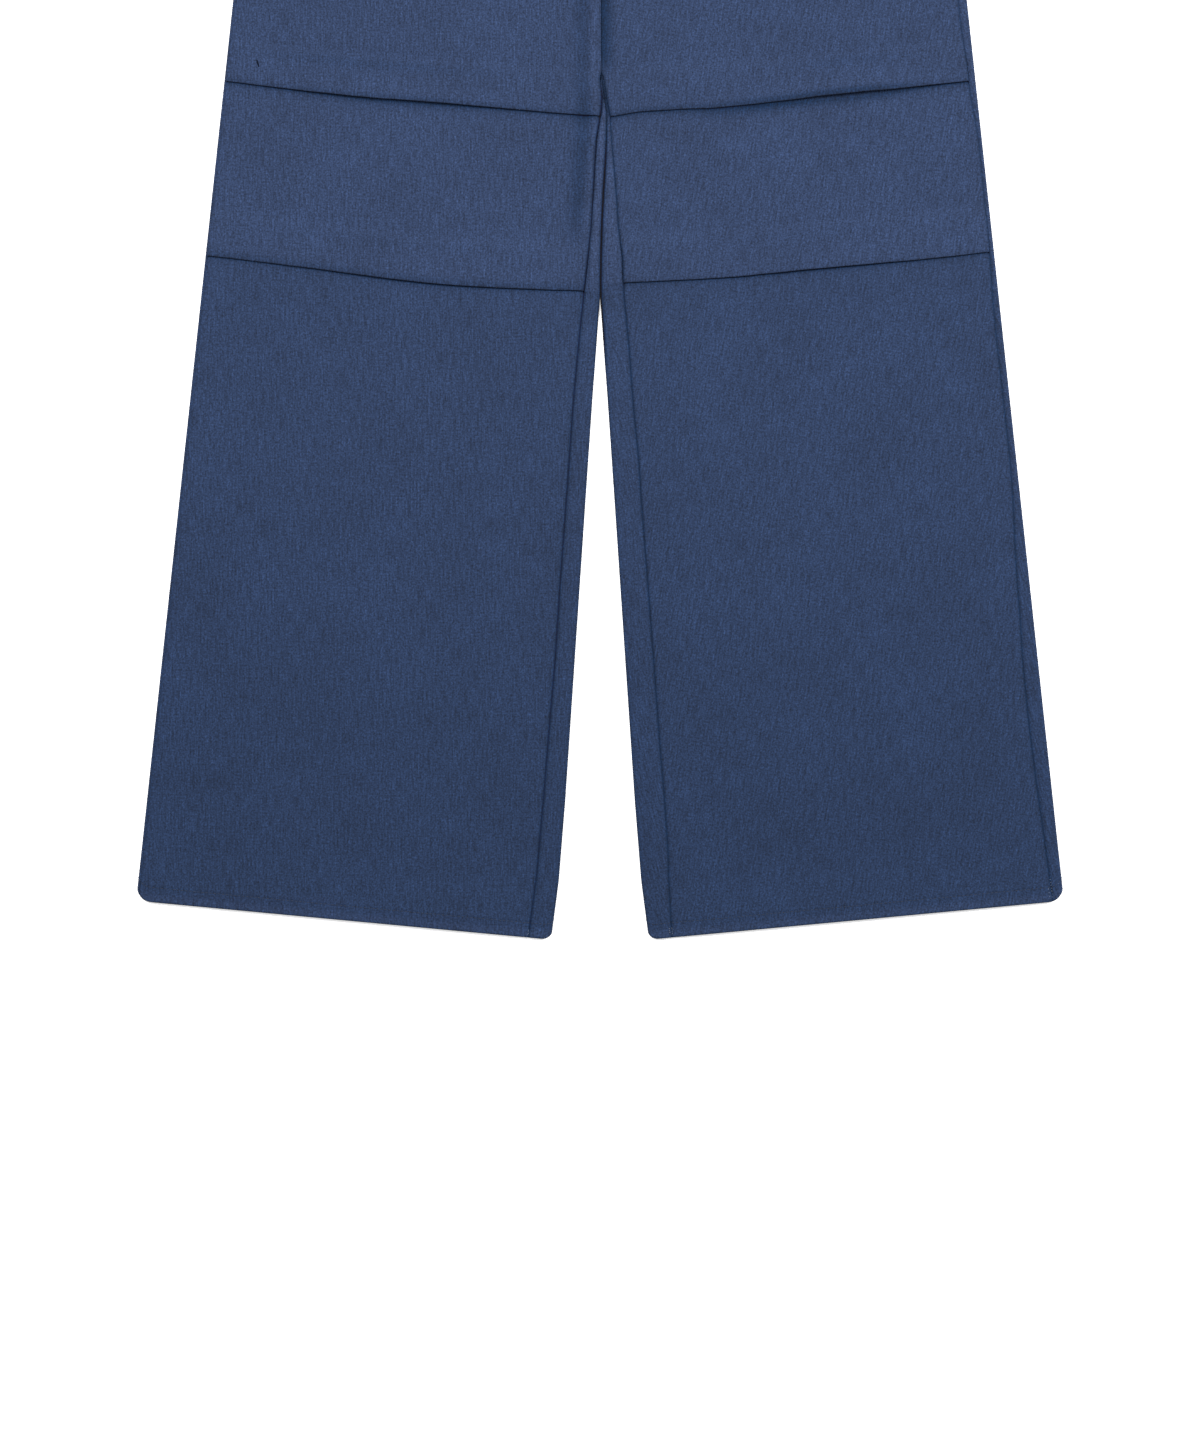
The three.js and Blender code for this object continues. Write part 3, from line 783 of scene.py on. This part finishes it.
def flatRing(half, front, back, first, last):
    radius, middle = (front - back) / 2, (front + back) / 2
    straight = half - radius

    def line(a, b, z, count):
        return [(lerp(a, b, k / (count - 1)), z) for k in range(count)]

    def bend(sign):
        angles = [math.radians(degrees) for degrees in (30, 60, 90, 120, 150)]
        return [
            (sign * (straight + radius * math.sin(a)), middle + sign * radius * math.cos(a))
            for a in angles
        ]

    return [
        *line(first, straight, front, 18),
        *bend(1),
        *line(straight, -straight, back, 30),
        *bend(-1),
        *line(-straight, last, front, 18),
    ]


# A smooth line through the points of a path, with a few steps between each two.
def rounded(path, steps=4):
    points = np.array(path, dtype=float)
    before = np.vstack([points[0] * 2 - points[1], points[:-1]])
    after = np.vstack([points[1:], points[-1] * 2 - points[-2]])
    gaps = np.linalg.norm(points[1:] - points[:-1], axis=1)[:, None]
    back = np.vstack([gaps[:1], gaps])
    ahead = np.vstack([gaps, gaps[-1:]])
    tangent = ((points - before) / back * ahead + (after - points) / ahead * back) / (back + ahead)
    line = [points[0]]
    for k in range(len(points) - 1):
        for step in range(1, steps + 1):
            t = step / steps
            a = 2 * t**3 - 3 * t**2 + 1
            b = t**3 - 2 * t**2 + t
            c = t**3 - t**2
            start = a * points[k] + b * gaps[k] * tangent[k]
            line.append(start + (1 - a) * points[k + 1] + c * gaps[k] * tangent[k + 1])
    return np.array(line)


def strapSheet(name, path, low, high, thickness, node, closing=None):
    line = rounded(path)
    middle, half = (low + high) / 2, (high - low) / 2
    shares = np.array([-1, -0.96, -0.88, -0.72, -0.5, -0.25, 0, 0.25, 0.5, 0.72, 0.88, 0.96, 1])
    along = reachAlong(line)
    points = []
    for (x, z), reach in zip(line, along):
        narrow = closing(along[-1] - reach) if closing else 1
        y = middle + shares * half * narrow
        points.append(np.stack([x + 0 * y, y, z + 0 * y], axis=-1))
    grid = np.array(points)
    grids[name] = grid
    patch = np.stack(np.broadcast_arrays(shares * half, along[:, None]), axis=-1)
    return clothSheet(name, grid, patch, bareSheetTone(grid), thickness, node)


opening = 2.5
bandPath = flatRing(
    garment["waistHalf"] - bandWall / 2, frontBand, backBand,
    opening + cloth["seamGap"] / 2, opening - cloth["seamGap"] / 2,
)
band = strapSheet(
    "waist_band", bandPath, garment["waistSeam"] + slack / 2, waistTop - slack / 2,
    bandWall - slack, "waistband",
)

buckle = {"length": 46, "height": 40, "side": 5, "wall": 3, "bar": 1, "corner": 4, "bevel": 0.7}
buckle["low"] = tailBelt + beltWall / 2 + cloth["seamGap"]
buckle["barAt"] = buckle["low"] + buckle["bar"]
tailTip = 135


def beltPath():
    wrap = buckle["bar"] + cloth["seamGap"] + beltWall / 2
    top, under = buckle["barAt"] + wrap, buckle["barAt"] - wrap
    over = top + beltWall + cloth["seamGap"] + 0.2
    inside = buckle["length"] / 2 - buckle["side"]
    turned = [math.radians(degrees) for degrees in (90, 45, 0, -45, -90)]
    half = garment["waistHalf"] + cloth["seamGap"] + beltWall / 2
    ring = flatRing(half, frontBelt, backBelt, inside + 12, -inside - 14)
    tail = (inside - 0.6, inside + 10, 80, tailTip - 14, tailTip - 8, tailTip - 3, tailTip)
    return [
        (3.5, top),
        *((-wrap * math.cos(a), buckle["barAt"] + wrap * math.sin(a)) for a in turned),
        (8, lerp(under, frontBelt, 0.55)),
        (inside - 2, frontBelt + 0.05),
        *ring,
        (-inside - 5, frontBelt),
        (-inside, frontBelt + 0.3),
        (-inside + 6, frontBelt + 2.5),
        (-5.5, over - 0.9),
        (0, over),
        (5, over - 0.3),
        (10, over - 2.1),
        (inside - 3.2, tailBelt + 0.6),
        *((x, tailBelt) for x in tail),
    ]


def tailEnd(left):
    # the tail narrows to a blunt point over its last few millimetres
    return float(np.interp(left, [0, 3, 8, 14], [0.4, 0.74, 0.94, 1]))


belt = strapSheet(
    "belt_band", beltPath(), beltLine - beltWidth / 2, beltLine + beltWidth / 2,
    beltWall - slack, "belt_strap", tailEnd,
)
print("waist and belt made")


# Belt loops

loopOn = frontBand + bandWall / 2 + cloth["seamGap"] + loopWall / 2
loopUnder = backBand - bandWall / 2 - cloth["seamGap"] - loopWall / 2
overOne = frontBelt + beltWall / 2 + cloth["seamGap"] + loopWall / 2
overTwo = tailBelt + beltWall / 2 + cloth["seamGap"] + loopWall / 2
loops = named("name x on over", [
    ("front_right", -100, loopOn, overOne),
    ("front_left", 100, loopOn, overTwo),
    ("back_right", -120, loopUnder, loopWall / 2),
    ("back_centre", 0, loopUnder, loopWall / 2),
    ("back_left", 120, loopUnder, loopWall / 2),
])


def makeLoop(loop):
    low, high = garment["waistSeam"] + 0.6, waistTop - 0.6
    foot, ramp = 2.4, 2
    on, over = loop["on"], loop["over"]
    sewnEnd = [(0, on), (foot, on), (foot + ramp, over), (foot + ramp + 3, over)]
    path = [(low + up, z) for up, z in sewnEnd] + [(beltLine, over)]
    path += [(high - up, z) for up, z in reversed(sewnEnd)]
    line = rounded(path, 5)
    shares = np.array([-0.5, -0.47, -0.4, -0.2, 0, 0.2, 0.4, 0.47, 0.5])
    grid = np.array([[(loop["x"] + share * loopWidth, y, z) for share in shares] for y, z in line])
    grids["loop", loop["name"]] = grid
    name = loop["name"]
    tone = bareSheetTone(grid)
    return clothSheet(f"belt_loop_{name}", grid, grid[..., :2], tone, loopWall - slack, f"loop_{name}")


loopSheets = [makeLoop(loop) for loop in loops]
print("loops made")


# Buckle

def makeBuckle():
    bpy.ops.mesh.primitive_plane_add(size=1, location=(0, beltLine * mm, buckle["low"] * mm))
    thing = bpy.context.active_object
    thing.scale = (buckle["length"] * mm, buckle["height"] * mm, 1)
    bpy.ops.object.transform_apply(location=True, rotation=True, scale=True)
    bpy.ops.object.mode_set(mode="EDIT")
    bpy.ops.mesh.select_all(action="SELECT")
    bpy.ops.mesh.bevel(offset=buckle["corner"] * mm, segments=6, affect="VERTICES")
    bpy.ops.mesh.inset(thickness=buckle["side"] * mm)
    bpy.ops.mesh.delete(type="FACE")
    bpy.ops.mesh.select_all(action="SELECT")
    bpy.ops.mesh.extrude_region_move(TRANSFORM_OT_translate={"value": (0, 0, buckle["wall"] * mm)})
    bpy.ops.mesh.select_all(action="SELECT")
    bpy.ops.mesh.normals_make_consistent(inside=False)
    bpy.ops.object.mode_set(mode="OBJECT")
    applyModifier(thing, "BEVEL", width=buckle["bevel"] * mm, segments=3, limit_method="ANGLE")
    bpy.ops.mesh.primitive_cylinder_add(
        radius=buckle["bar"] * mm, depth=(buckle["height"] - buckle["side"]) * mm, vertices=24,
        location=(0, beltLine * mm, buckle["barAt"] * mm), rotation=(math.pi / 2, 0, 0),
    )
    rod = bpy.context.active_object
    bpy.ops.object.transform_apply(location=True, rotation=True, scale=True)
    activate(thing)
    rod.select_set(True)
    bpy.ops.object.join()
    bpy.ops.object.shade_smooth_by_angle(angle=math.radians(35))
    thing.name = thing.data.name = "slide_buckle"
    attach(thing, "root")
    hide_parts("belt_buckle")
    return thing


slideBuckle = makeBuckle()
print("buckle made")


# Sewing

stitch = {"length": 2.4, "pitch": 3.1, "thick": 0.5, "proud": 0.1}


# One stitch is modelled once: a short bead of thread whose ends dip into the cloth.
def modelStitch():
    bpy.ops.mesh.primitive_uv_sphere_add(segments=6, ring_count=5, radius=0.5, rotation=(0, math.pi / 2, 0))
    thing = bpy.context.active_object
    bpy.ops.object.transform_apply(location=True, rotation=True, scale=True)
    bpy.ops.object.mode_set(mode="EDIT")
    bpy.ops.mesh.select_all(action="SELECT")
    bpy.ops.transform.resize(value=(stitch["length"], stitch["thick"], stitch["thick"]))
    bpy.ops.mesh.quads_convert_to_tris()
    bpy.ops.object.mode_set(mode="OBJECT")
    vertices = np.array([vertex.co for vertex in thing.data.vertices])
    faces = np.array([list(polygon.vertices) for polygon in thing.data.polygons])
    bpy.data.objects.remove(thing)
    return vertices, faces


stitchShape = modelStitch()


def unit(vectors):
    return vectors / np.maximum(np.linalg.norm(vectors, axis=-1, keepdims=True), 1e-9)


def gridNormals(grid):
    return unit(np.cross(np.gradient(grid, axis=1), np.gradient(grid, axis=0)))


# Whether the sheet's normals point up, 1, or down, -1, at one of its points
def facing(grid, row, column):
    return np.sign(gridNormals(grid)[row, column][2])


# The points of a line given as row and column positions in a grid, moved out of the cloth by off.
def overGrid(grid, rowsAt, columnsAt, off):
    rowsAt, columnsAt = np.broadcast_arrays(np.asarray(rowsAt, float), np.asarray(columnsAt, float))
    r = np.clip(np.floor(rowsAt).astype(int), 0, grid.shape[0] - 2)
    c = np.clip(np.floor(columnsAt).astype(int), 0, grid.shape[1] - 2)
    fr, fc = (rowsAt - r)[:, None], (columnsAt - c)[:, None]

    def blendOf(values):
        low = values[r, c] * (1 - fc) + values[r, c + 1] * fc
        high = values[r + 1, c] * (1 - fc) + values[r + 1, c + 1] * fc
        return low * (1 - fr) + high * fr

    normal = unit(blendOf(gridNormals(grid)))
    return blendOf(grid) + normal * off, normal


# Stitches at an even pitch along a line of points.
def sewn(points, normals, pitch=stitch["pitch"], scale=1.0, turn=0.0):
    reach = reachAlong(points)
    count = int(reach[-1] / pitch)
    if count < 1:
        return []
    at = (np.arange(count) + 0.5) * reach[-1] / count

    def follow(values, where):
        return np.stack([np.interp(where, reach, values[:, k]) for k in range(3)], axis=1)

    middle, normal = follow(points, at), follow(normals, at)
    ahead, behind = follow(points, at + 0.4), follow(points, at - 0.4)
    made = []
    for k in range(count):
        forward = ahead[k] - behind[k]
        forward /= np.linalg.norm(forward)
        up = normal[k] - forward * (normal[k] @ forward)
        up /= np.linalg.norm(up)
        aside = np.cross(up, forward)
        swing = math.radians(turn if k % 2 else -turn)
        cosine, sine = math.cos(swing), math.sin(swing)
        forward, aside = forward * cosine + aside * sine, aside * cosine - forward * sine
        jitter = 0.12 * math.sin(7.3 * k + points[0][0])
        shape = stitchShape[0] @ np.stack([forward, aside, up])
        made.append(middle[k] + jitter * forward + scale * shape)
    return made


def joinStitches(name, stitches):
    vertices = np.concatenate(stitches)
    vertices[:, 2] = np.maximum(vertices[:, 2], 0.02)  # pressed flat where the garment lies on them
    count = len(stitchShape[0])
    faces = np.concatenate([stitchShape[1] + k * count for k in range(len(stitches))])
    thing = meshFrom(name, vertices * mm, faces)
    activate(thing)
    bpy.ops.object.shade_smooth()
    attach(thing, "root")
    return thing


# The row of a panel's outer layer that is nearest to a height
def rowIndex(profile, height):
    return min(range(len(profile)), key=lambda k: abs(profile[k][0] - height) + 10 * abs(profile[k][1]))


def overShell(wall):
    return wall / 2 + stitch["proud"]


outside = overShell(cloth["shown"])


def sewHem(side):
    made = []
    for part, count, way in (("front", 240, 1), ("back", 400, -1)):
        grid, profile = grids[part, side]
        row = rowIndex(profile, garment["hemLine"] + garment["hemSewing"])
        columns = np.linspace(0.3, grid.shape[1] - 1.3, count)
        made += sewn(*overGrid(grid, row, columns, way * outside * facing(grid, row, 40)))
    return made


hemSewing = joinStitches("hem_stitches", [*sewHem("right"), *sewHem("left")])


# Stitches along a sheet at each inset, from its first row to so many rows before its end
def sewLengths(grid, off, insets, first, before, count, **sewing):
    rows = np.linspace(first, grid.shape[0] - before, count)
    made = []
    for inset in insets:
        made += sewn(*overGrid(grid, rows, inset, off), **sewing)
    return made


def sewFlap():
    grid = grids["flap"]
    return sewLengths(grid, outside * facing(grid, 10, 5), (2.2, 3.4), 0.5, 1.6, 160)


def sewBand():
    grid = grids["waist_band"]
    off = overShell(bandWall - slack) * facing(grid, 20, 5)
    return sewLengths(grid, off, (1.6, grid.shape[1] - 2.6), 0.5, 1.5, 500)


def sewBelt():
    grid = grids["belt_band"]
    off = overShell(beltWall - slack) * facing(grid, 30, 5)
    return sewLengths(grid, off, (1.9, grid.shape[1] - 2.9), 1, 3, 900)


def sewLoop(loop):
    grid = grids["loop", loop["name"]]
    way = 1 if loop["name"].startswith("front") else -1
    off = overShell(loopWall - slack) * way * facing(grid, 20, 4)
    made = sewLengths(grid, off, (1.8, 6.2), 1, 2, 60, scale=0.8)
    for row in (3.5, grid.shape[0] - 4.5):
        line = overGrid(grid, row, np.linspace(0.4, 7.6, 20), off)
        made += sewn(*line, pitch=0.55, scale=0.62, turn=78)
    return made


trimStitches = [*sewFlap(), *sewBand(), *sewBelt()]
for loop in loops:
    trimStitches += sewLoop(loop)


# Small tacks of pale thread that hold the seams' ends at the hems
tacks = named("panel side column low high scale pitch", [
    ("front", "right", 1, 1.5, 6, 0.4, 1.1),
    ("front", "left", 1, 2, 7, 0.45, 1.2),
    ("back", "left", -2, 3, 7, 0.4, 1.2),
    ("back", "left", 0.6, 2, 18, 0.4, 2.1),
    ("front", "left", -3, 3, 12, 0.4, 2.3),
])


def sewTack(tack):
    grid, profile = grids[tack["panel"], tack["side"]]
    low = rowIndex(profile, garment["hemLine"] + tack["low"])
    high = rowIndex(profile, garment["hemLine"] + tack["high"])
    column = tack["column"] if tack["column"] > 0 else grid.shape[1] - 1 + tack["column"]
    line = overGrid(grid, np.linspace(low, high, 20), column, outside * facing(grid, low, int(column)))
    return sewn(*line, pitch=tack["pitch"], scale=tack["scale"], turn=55)


# One short loose end of thread lies on the right front, above the upper tuck.
def looseThread(x, y):
    grid = grids["front", "right"][0]
    away = np.hypot(grid[..., 0] - x, grid[..., 1] - y) - 0.8 * grid[..., 2]
    height = grid[np.unravel_index(int(np.argmin(away)), away.shape)][2] + outside
    share = np.linspace(-0.5, 0.5, 30)
    points = np.stack([x + 0.75 * share, y - 2.6 * share, np.full(30, height)], axis=1)
    return sewn(points, np.tile([0.0, 0, 1], (30, 1)), pitch=1.25, scale=2.1)


tackStitches = []
for tack in tacks:
    tackStitches += sewTack(tack)
trimSewing = joinStitches("trim_stitches", trimStitches)
paleTacks = joinStitches("seam_tacks", tackStitches)
looseEnd = joinStitches("loose_thread", looseThread(-259.4, 191.1))
print("sewing made")


# Materials

looks = {
    "cloth": {"base": (0.0140, 0.0253, 0.0603), "slub": 0.72, "grain": 1.34, "cloudy": 0.2},
    "belt": {"base": (0.0135, 0.0242, 0.0577), "slub": 0.72, "grain": 1.34, "cloudy": 0.1},
    "thread": {"base": (0.0085, 0.0155, 0.038), "gloss": 0.5},
    "pale": {"base": (0.20, 0.23, 0.29), "gloss": 0.5},
    "dark": {"base": (0.0015, 0.0025, 0.007), "gloss": 0.05},
    "metal": {"base": (0.055, 0.058, 0.066)},
}


class Nodes:
    def __init__(self, name):
        self.material = bpy.data.materials.new(name)
        self.material.use_nodes = True
        self.tree = self.material.node_tree
        self.shader = self.tree.nodes["Principled BSDF"]

    def add(self, kind, **values):
        made = self.tree.nodes.new(kind)
        for key, value in values.items():
            setattr(made, key, value)
        return made

    def link(self, source, target):
        self.tree.links.new(source, target)


def putOn(node, values):
    for socket, value in values.items():
        node.inputs[socket].default_value = value


def stretched(nodes, source, scale):
    mapping = nodes.add("ShaderNodeMapping")
    putOn(mapping, {"Scale": scale})
    nodes.link(source, mapping.inputs["Vector"])
    return mapping.outputs["Vector"]


def noiseOf(nodes, source, scale, detail=2.0, roughness=0.5):
    noise = nodes.add("ShaderNodeTexNoise")
    putOn(noise, {"Scale": 1.0, "Detail": detail, "Roughness": roughness})
    nodes.link(stretched(nodes, source, scale), noise.inputs["Vector"])
    return noise.outputs["Fac"]


# A node's output is linked to the socket, a plain value is set on it.
def feed(nodes, value, socket):
    if isinstance(value, bpy.types.NodeSocket):
        nodes.link(value, socket)
    else:
        socket.default_value = value


def calc(nodes, operation, first, second):
    made = nodes.add("ShaderNodeMath", operation=operation)
    for socket, value in zip(made.inputs, (first, second)):
        feed(nodes, value, socket)
    return made.outputs[0]


def spread(nodes, value, amount):
    # noise of 0 to 1 as a factor round 1
    return calc(nodes, "ADD", calc(nodes, "MULTIPLY", calc(nodes, "SUBTRACT", value, 0.5), amount * 2), 1.0)


def colourBy(nodes, base, factor):
    scaled = nodes.add("ShaderNodeVectorMath", operation="SCALE")
    feed(nodes, base, scaled.inputs[0])
    nodes.link(factor, scaled.inputs["Scale"])
    nodes.link(scaled.outputs[0], nodes.shader.inputs["Base Color"])


def bumpBy(nodes, height, strength, distance):
    bump = nodes.add("ShaderNodeBump")
    putOn(bump, {"Strength": strength, "Distance": distance})
    nodes.link(height, bump.inputs["Height"])
    nodes.link(bump.outputs["Normal"], nodes.shader.inputs["Normal"])


def clothMaterial(name, look):
    nodes = Nodes(name)
    weave = nodes.add("ShaderNodeUVMap", uv_map="weave").outputs["UV"]
    place = nodes.add("ShaderNodeTexCoord").outputs["Object"]
    slubs = noiseOf(nodes, weave, (760, 62, 1), 2, 0.6)
    fineSlubs = noiseOf(nodes, weave, (800, 360, 1), 1)
    grainNoise = noiseOf(nodes, weave, (780, 740, 1), 2, 0.7)
    weft = noiseOf(nodes, weave, (160, 900, 1), 1)
    clouds = noiseOf(nodes, place, (16, 12, 1), 3, 0.55)
    factor = spread(nodes, slubs, look["slub"])
    others = ((fineSlubs, 0.5), (grainNoise, look["grain"]), (weft, 0.2), (clouds, look["cloudy"]))
    for noise, amount in others:
        factor = calc(nodes, "MULTIPLY", factor, spread(nodes, noise, amount))
    factor = calc(nodes, "MAXIMUM", factor, 0.12)
    # The tone attribute carries the painted shade and highlights along with the other changes in how light
    # the cloth is
    tone = nodes.add("ShaderNodeAttribute", attribute_name="tone").outputs["Fac"]
    lost = calc(nodes, "SUBTRACT", 1.0, tone)
    kept = []
    for share in (1.45, 0.97, 0.75):  # red goes first where the cloth is darker
        left = calc(nodes, "SUBTRACT", 1.0, calc(nodes, "MULTIPLY", lost, share))
        kept.append(calc(nodes, "MAXIMUM", left, 0.06))
    tint = nodes.add("ShaderNodeCombineXYZ")
    for value, socket in zip(kept, tint.inputs):
        nodes.link(value, socket)
    toned = nodes.add("ShaderNodeVectorMath", operation="MULTIPLY")
    toned.inputs[0].default_value = look["base"]
    nodes.link(tint.outputs[0], toned.inputs[1])
    colourBy(nodes, toned.outputs[0], factor)
    bumpBy(nodes, calc(nodes, "ADD", calc(nodes, "MULTIPLY", slubs, 0.8), grainNoise), 0.35, 0.0003)
    putOn(nodes.shader, {"Roughness": 0.92, "Specular IOR Level": 0.18})
    putOn(nodes.shader, {"Sheen Weight": 0.05, "Sheen Roughness": 0.5})
    return nodes.material


def threadMaterial(name, look):
    nodes = Nodes(name)
    place = nodes.add("ShaderNodeTexCoord").outputs["Object"]
    twist = noiseOf(nodes, place, (1800, 1800, 1800), 1)
    colourBy(nodes, look["base"], spread(nodes, twist, 0.35))
    putOn(nodes.shader, {"Roughness": 0.75, "Specular IOR Level": look["gloss"]})
    return nodes.material


def metalMaterial(name, look):
    nodes = Nodes(name)
    place = nodes.add("ShaderNodeTexCoord").outputs["Object"]
    brushed = noiseOf(nodes, place, (260, 2600, 900), 3, 0.6)
    colourBy(nodes, look["base"], spread(nodes, brushed, 0.2))
    rough = calc(nodes, "ADD", calc(nodes, "MULTIPLY", brushed, 0.22), 0.24)
    nodes.link(rough, nodes.shader.inputs["Roughness"])
    bumpBy(nodes, brushed, 0.08, 0.0002)
    putOn(nodes.shader, {"Metallic": 1.0})
    return nodes.material


def dress(things, material):
    for thing in things:
        thing.data.materials.clear()
        thing.data.materials.append(material)


clothLook = clothMaterial("slub_cloth", looks["cloth"])
beltLook = clothMaterial("belt_cloth", looks["belt"])
threadLook = threadMaterial("sewing_thread", looks["thread"])
paleLook = threadMaterial("pale_thread", looks["pale"])
darkLook = threadMaterial("dark_thread", looks["dark"])
metalLook = metalMaterial("dark_metal", looks["metal"])
dress([*fronts.values(), *backs.values(), flyCover, band, *loopSheets], clothLook)
dress([belt], beltLook)
dress([hemSewing, trimSewing], threadLook)
dress([paleTacks], paleLook)
dress([looseEnd], darkLook)
dress([slideBuckle], metalLook)
print("materials made")


# The panels' areas are read off their own finished shells, so they would not show that a shell had
# stretched.


# Floor, light and camera

def makeFloor():
    bpy.ops.mesh.primitive_plane_add(size=14, location=(0, 0, -0.0001))
    floor = bpy.context.active_object
    floor.name = floor.data.name = "floor"
    nodes = Nodes("pale_floor")
    putOn(nodes.shader, {"Base Color": (0.9, 0.9, 0.9, 1), "Roughness": 0.9, "Specular IOR Level": 0.1})
    putOn(nodes.shader, {"Emission Color": (1, 1, 1, 1), "Emission Strength": 0.4})
    floor.data.materials.append(nodes.material)


makeFloor()

lights = [
    {"name": "side_light", "at": (2.2, 0.9, 2.0), "aim": (0, -0.1, 0), "size": (0.9, 0.9), "power": 120},
    {"name": "overhead", "at": (-1.1, 0.9, 2.2), "aim": (0, -0.15, 0), "size": (1.3, 1.1), "power": 78},
]


def makeLight(light):
    bpy.ops.object.light_add(type="AREA", location=light["at"])
    lamp = bpy.context.active_object
    lamp.name = light["name"]
    lamp.data.shape = "RECTANGLE"
    lamp.data.size, lamp.data.size_y = light["size"]
    lamp.data.energy = light["power"]
    aim = Vector(light["aim"]) - Vector(light["at"])
    lamp.rotation_euler = aim.to_track_quat("-Z", "Y").to_euler()


for light in lights:
    makeLight(light)

world = bpy.data.worlds.new("soft_room")
world.use_nodes = True
putOn(world.node_tree.nodes["Background"], {"Color": (1, 1, 1, 1), "Strength": 0.55})
bpy.context.scene.world = world
bpy.context.scene.view_settings.view_transform = "Standard"

view = {"middle": (0, -0.3067), "high": 1.0944, "lens": 85, "film": 36}
distance = view["high"] / 2 * view["lens"] / (view["film"] / 2)
bpy.ops.object.camera_add(location=(*view["middle"], distance), rotation=(0, 0, 0))
camera = bpy.context.active_object
camera.data.lens = view["lens"]
camera.data.sensor_width = view["film"]
camera.data.clip_end = 50
bpy.context.scene.camera = camera
print("floor, lights and camera made")
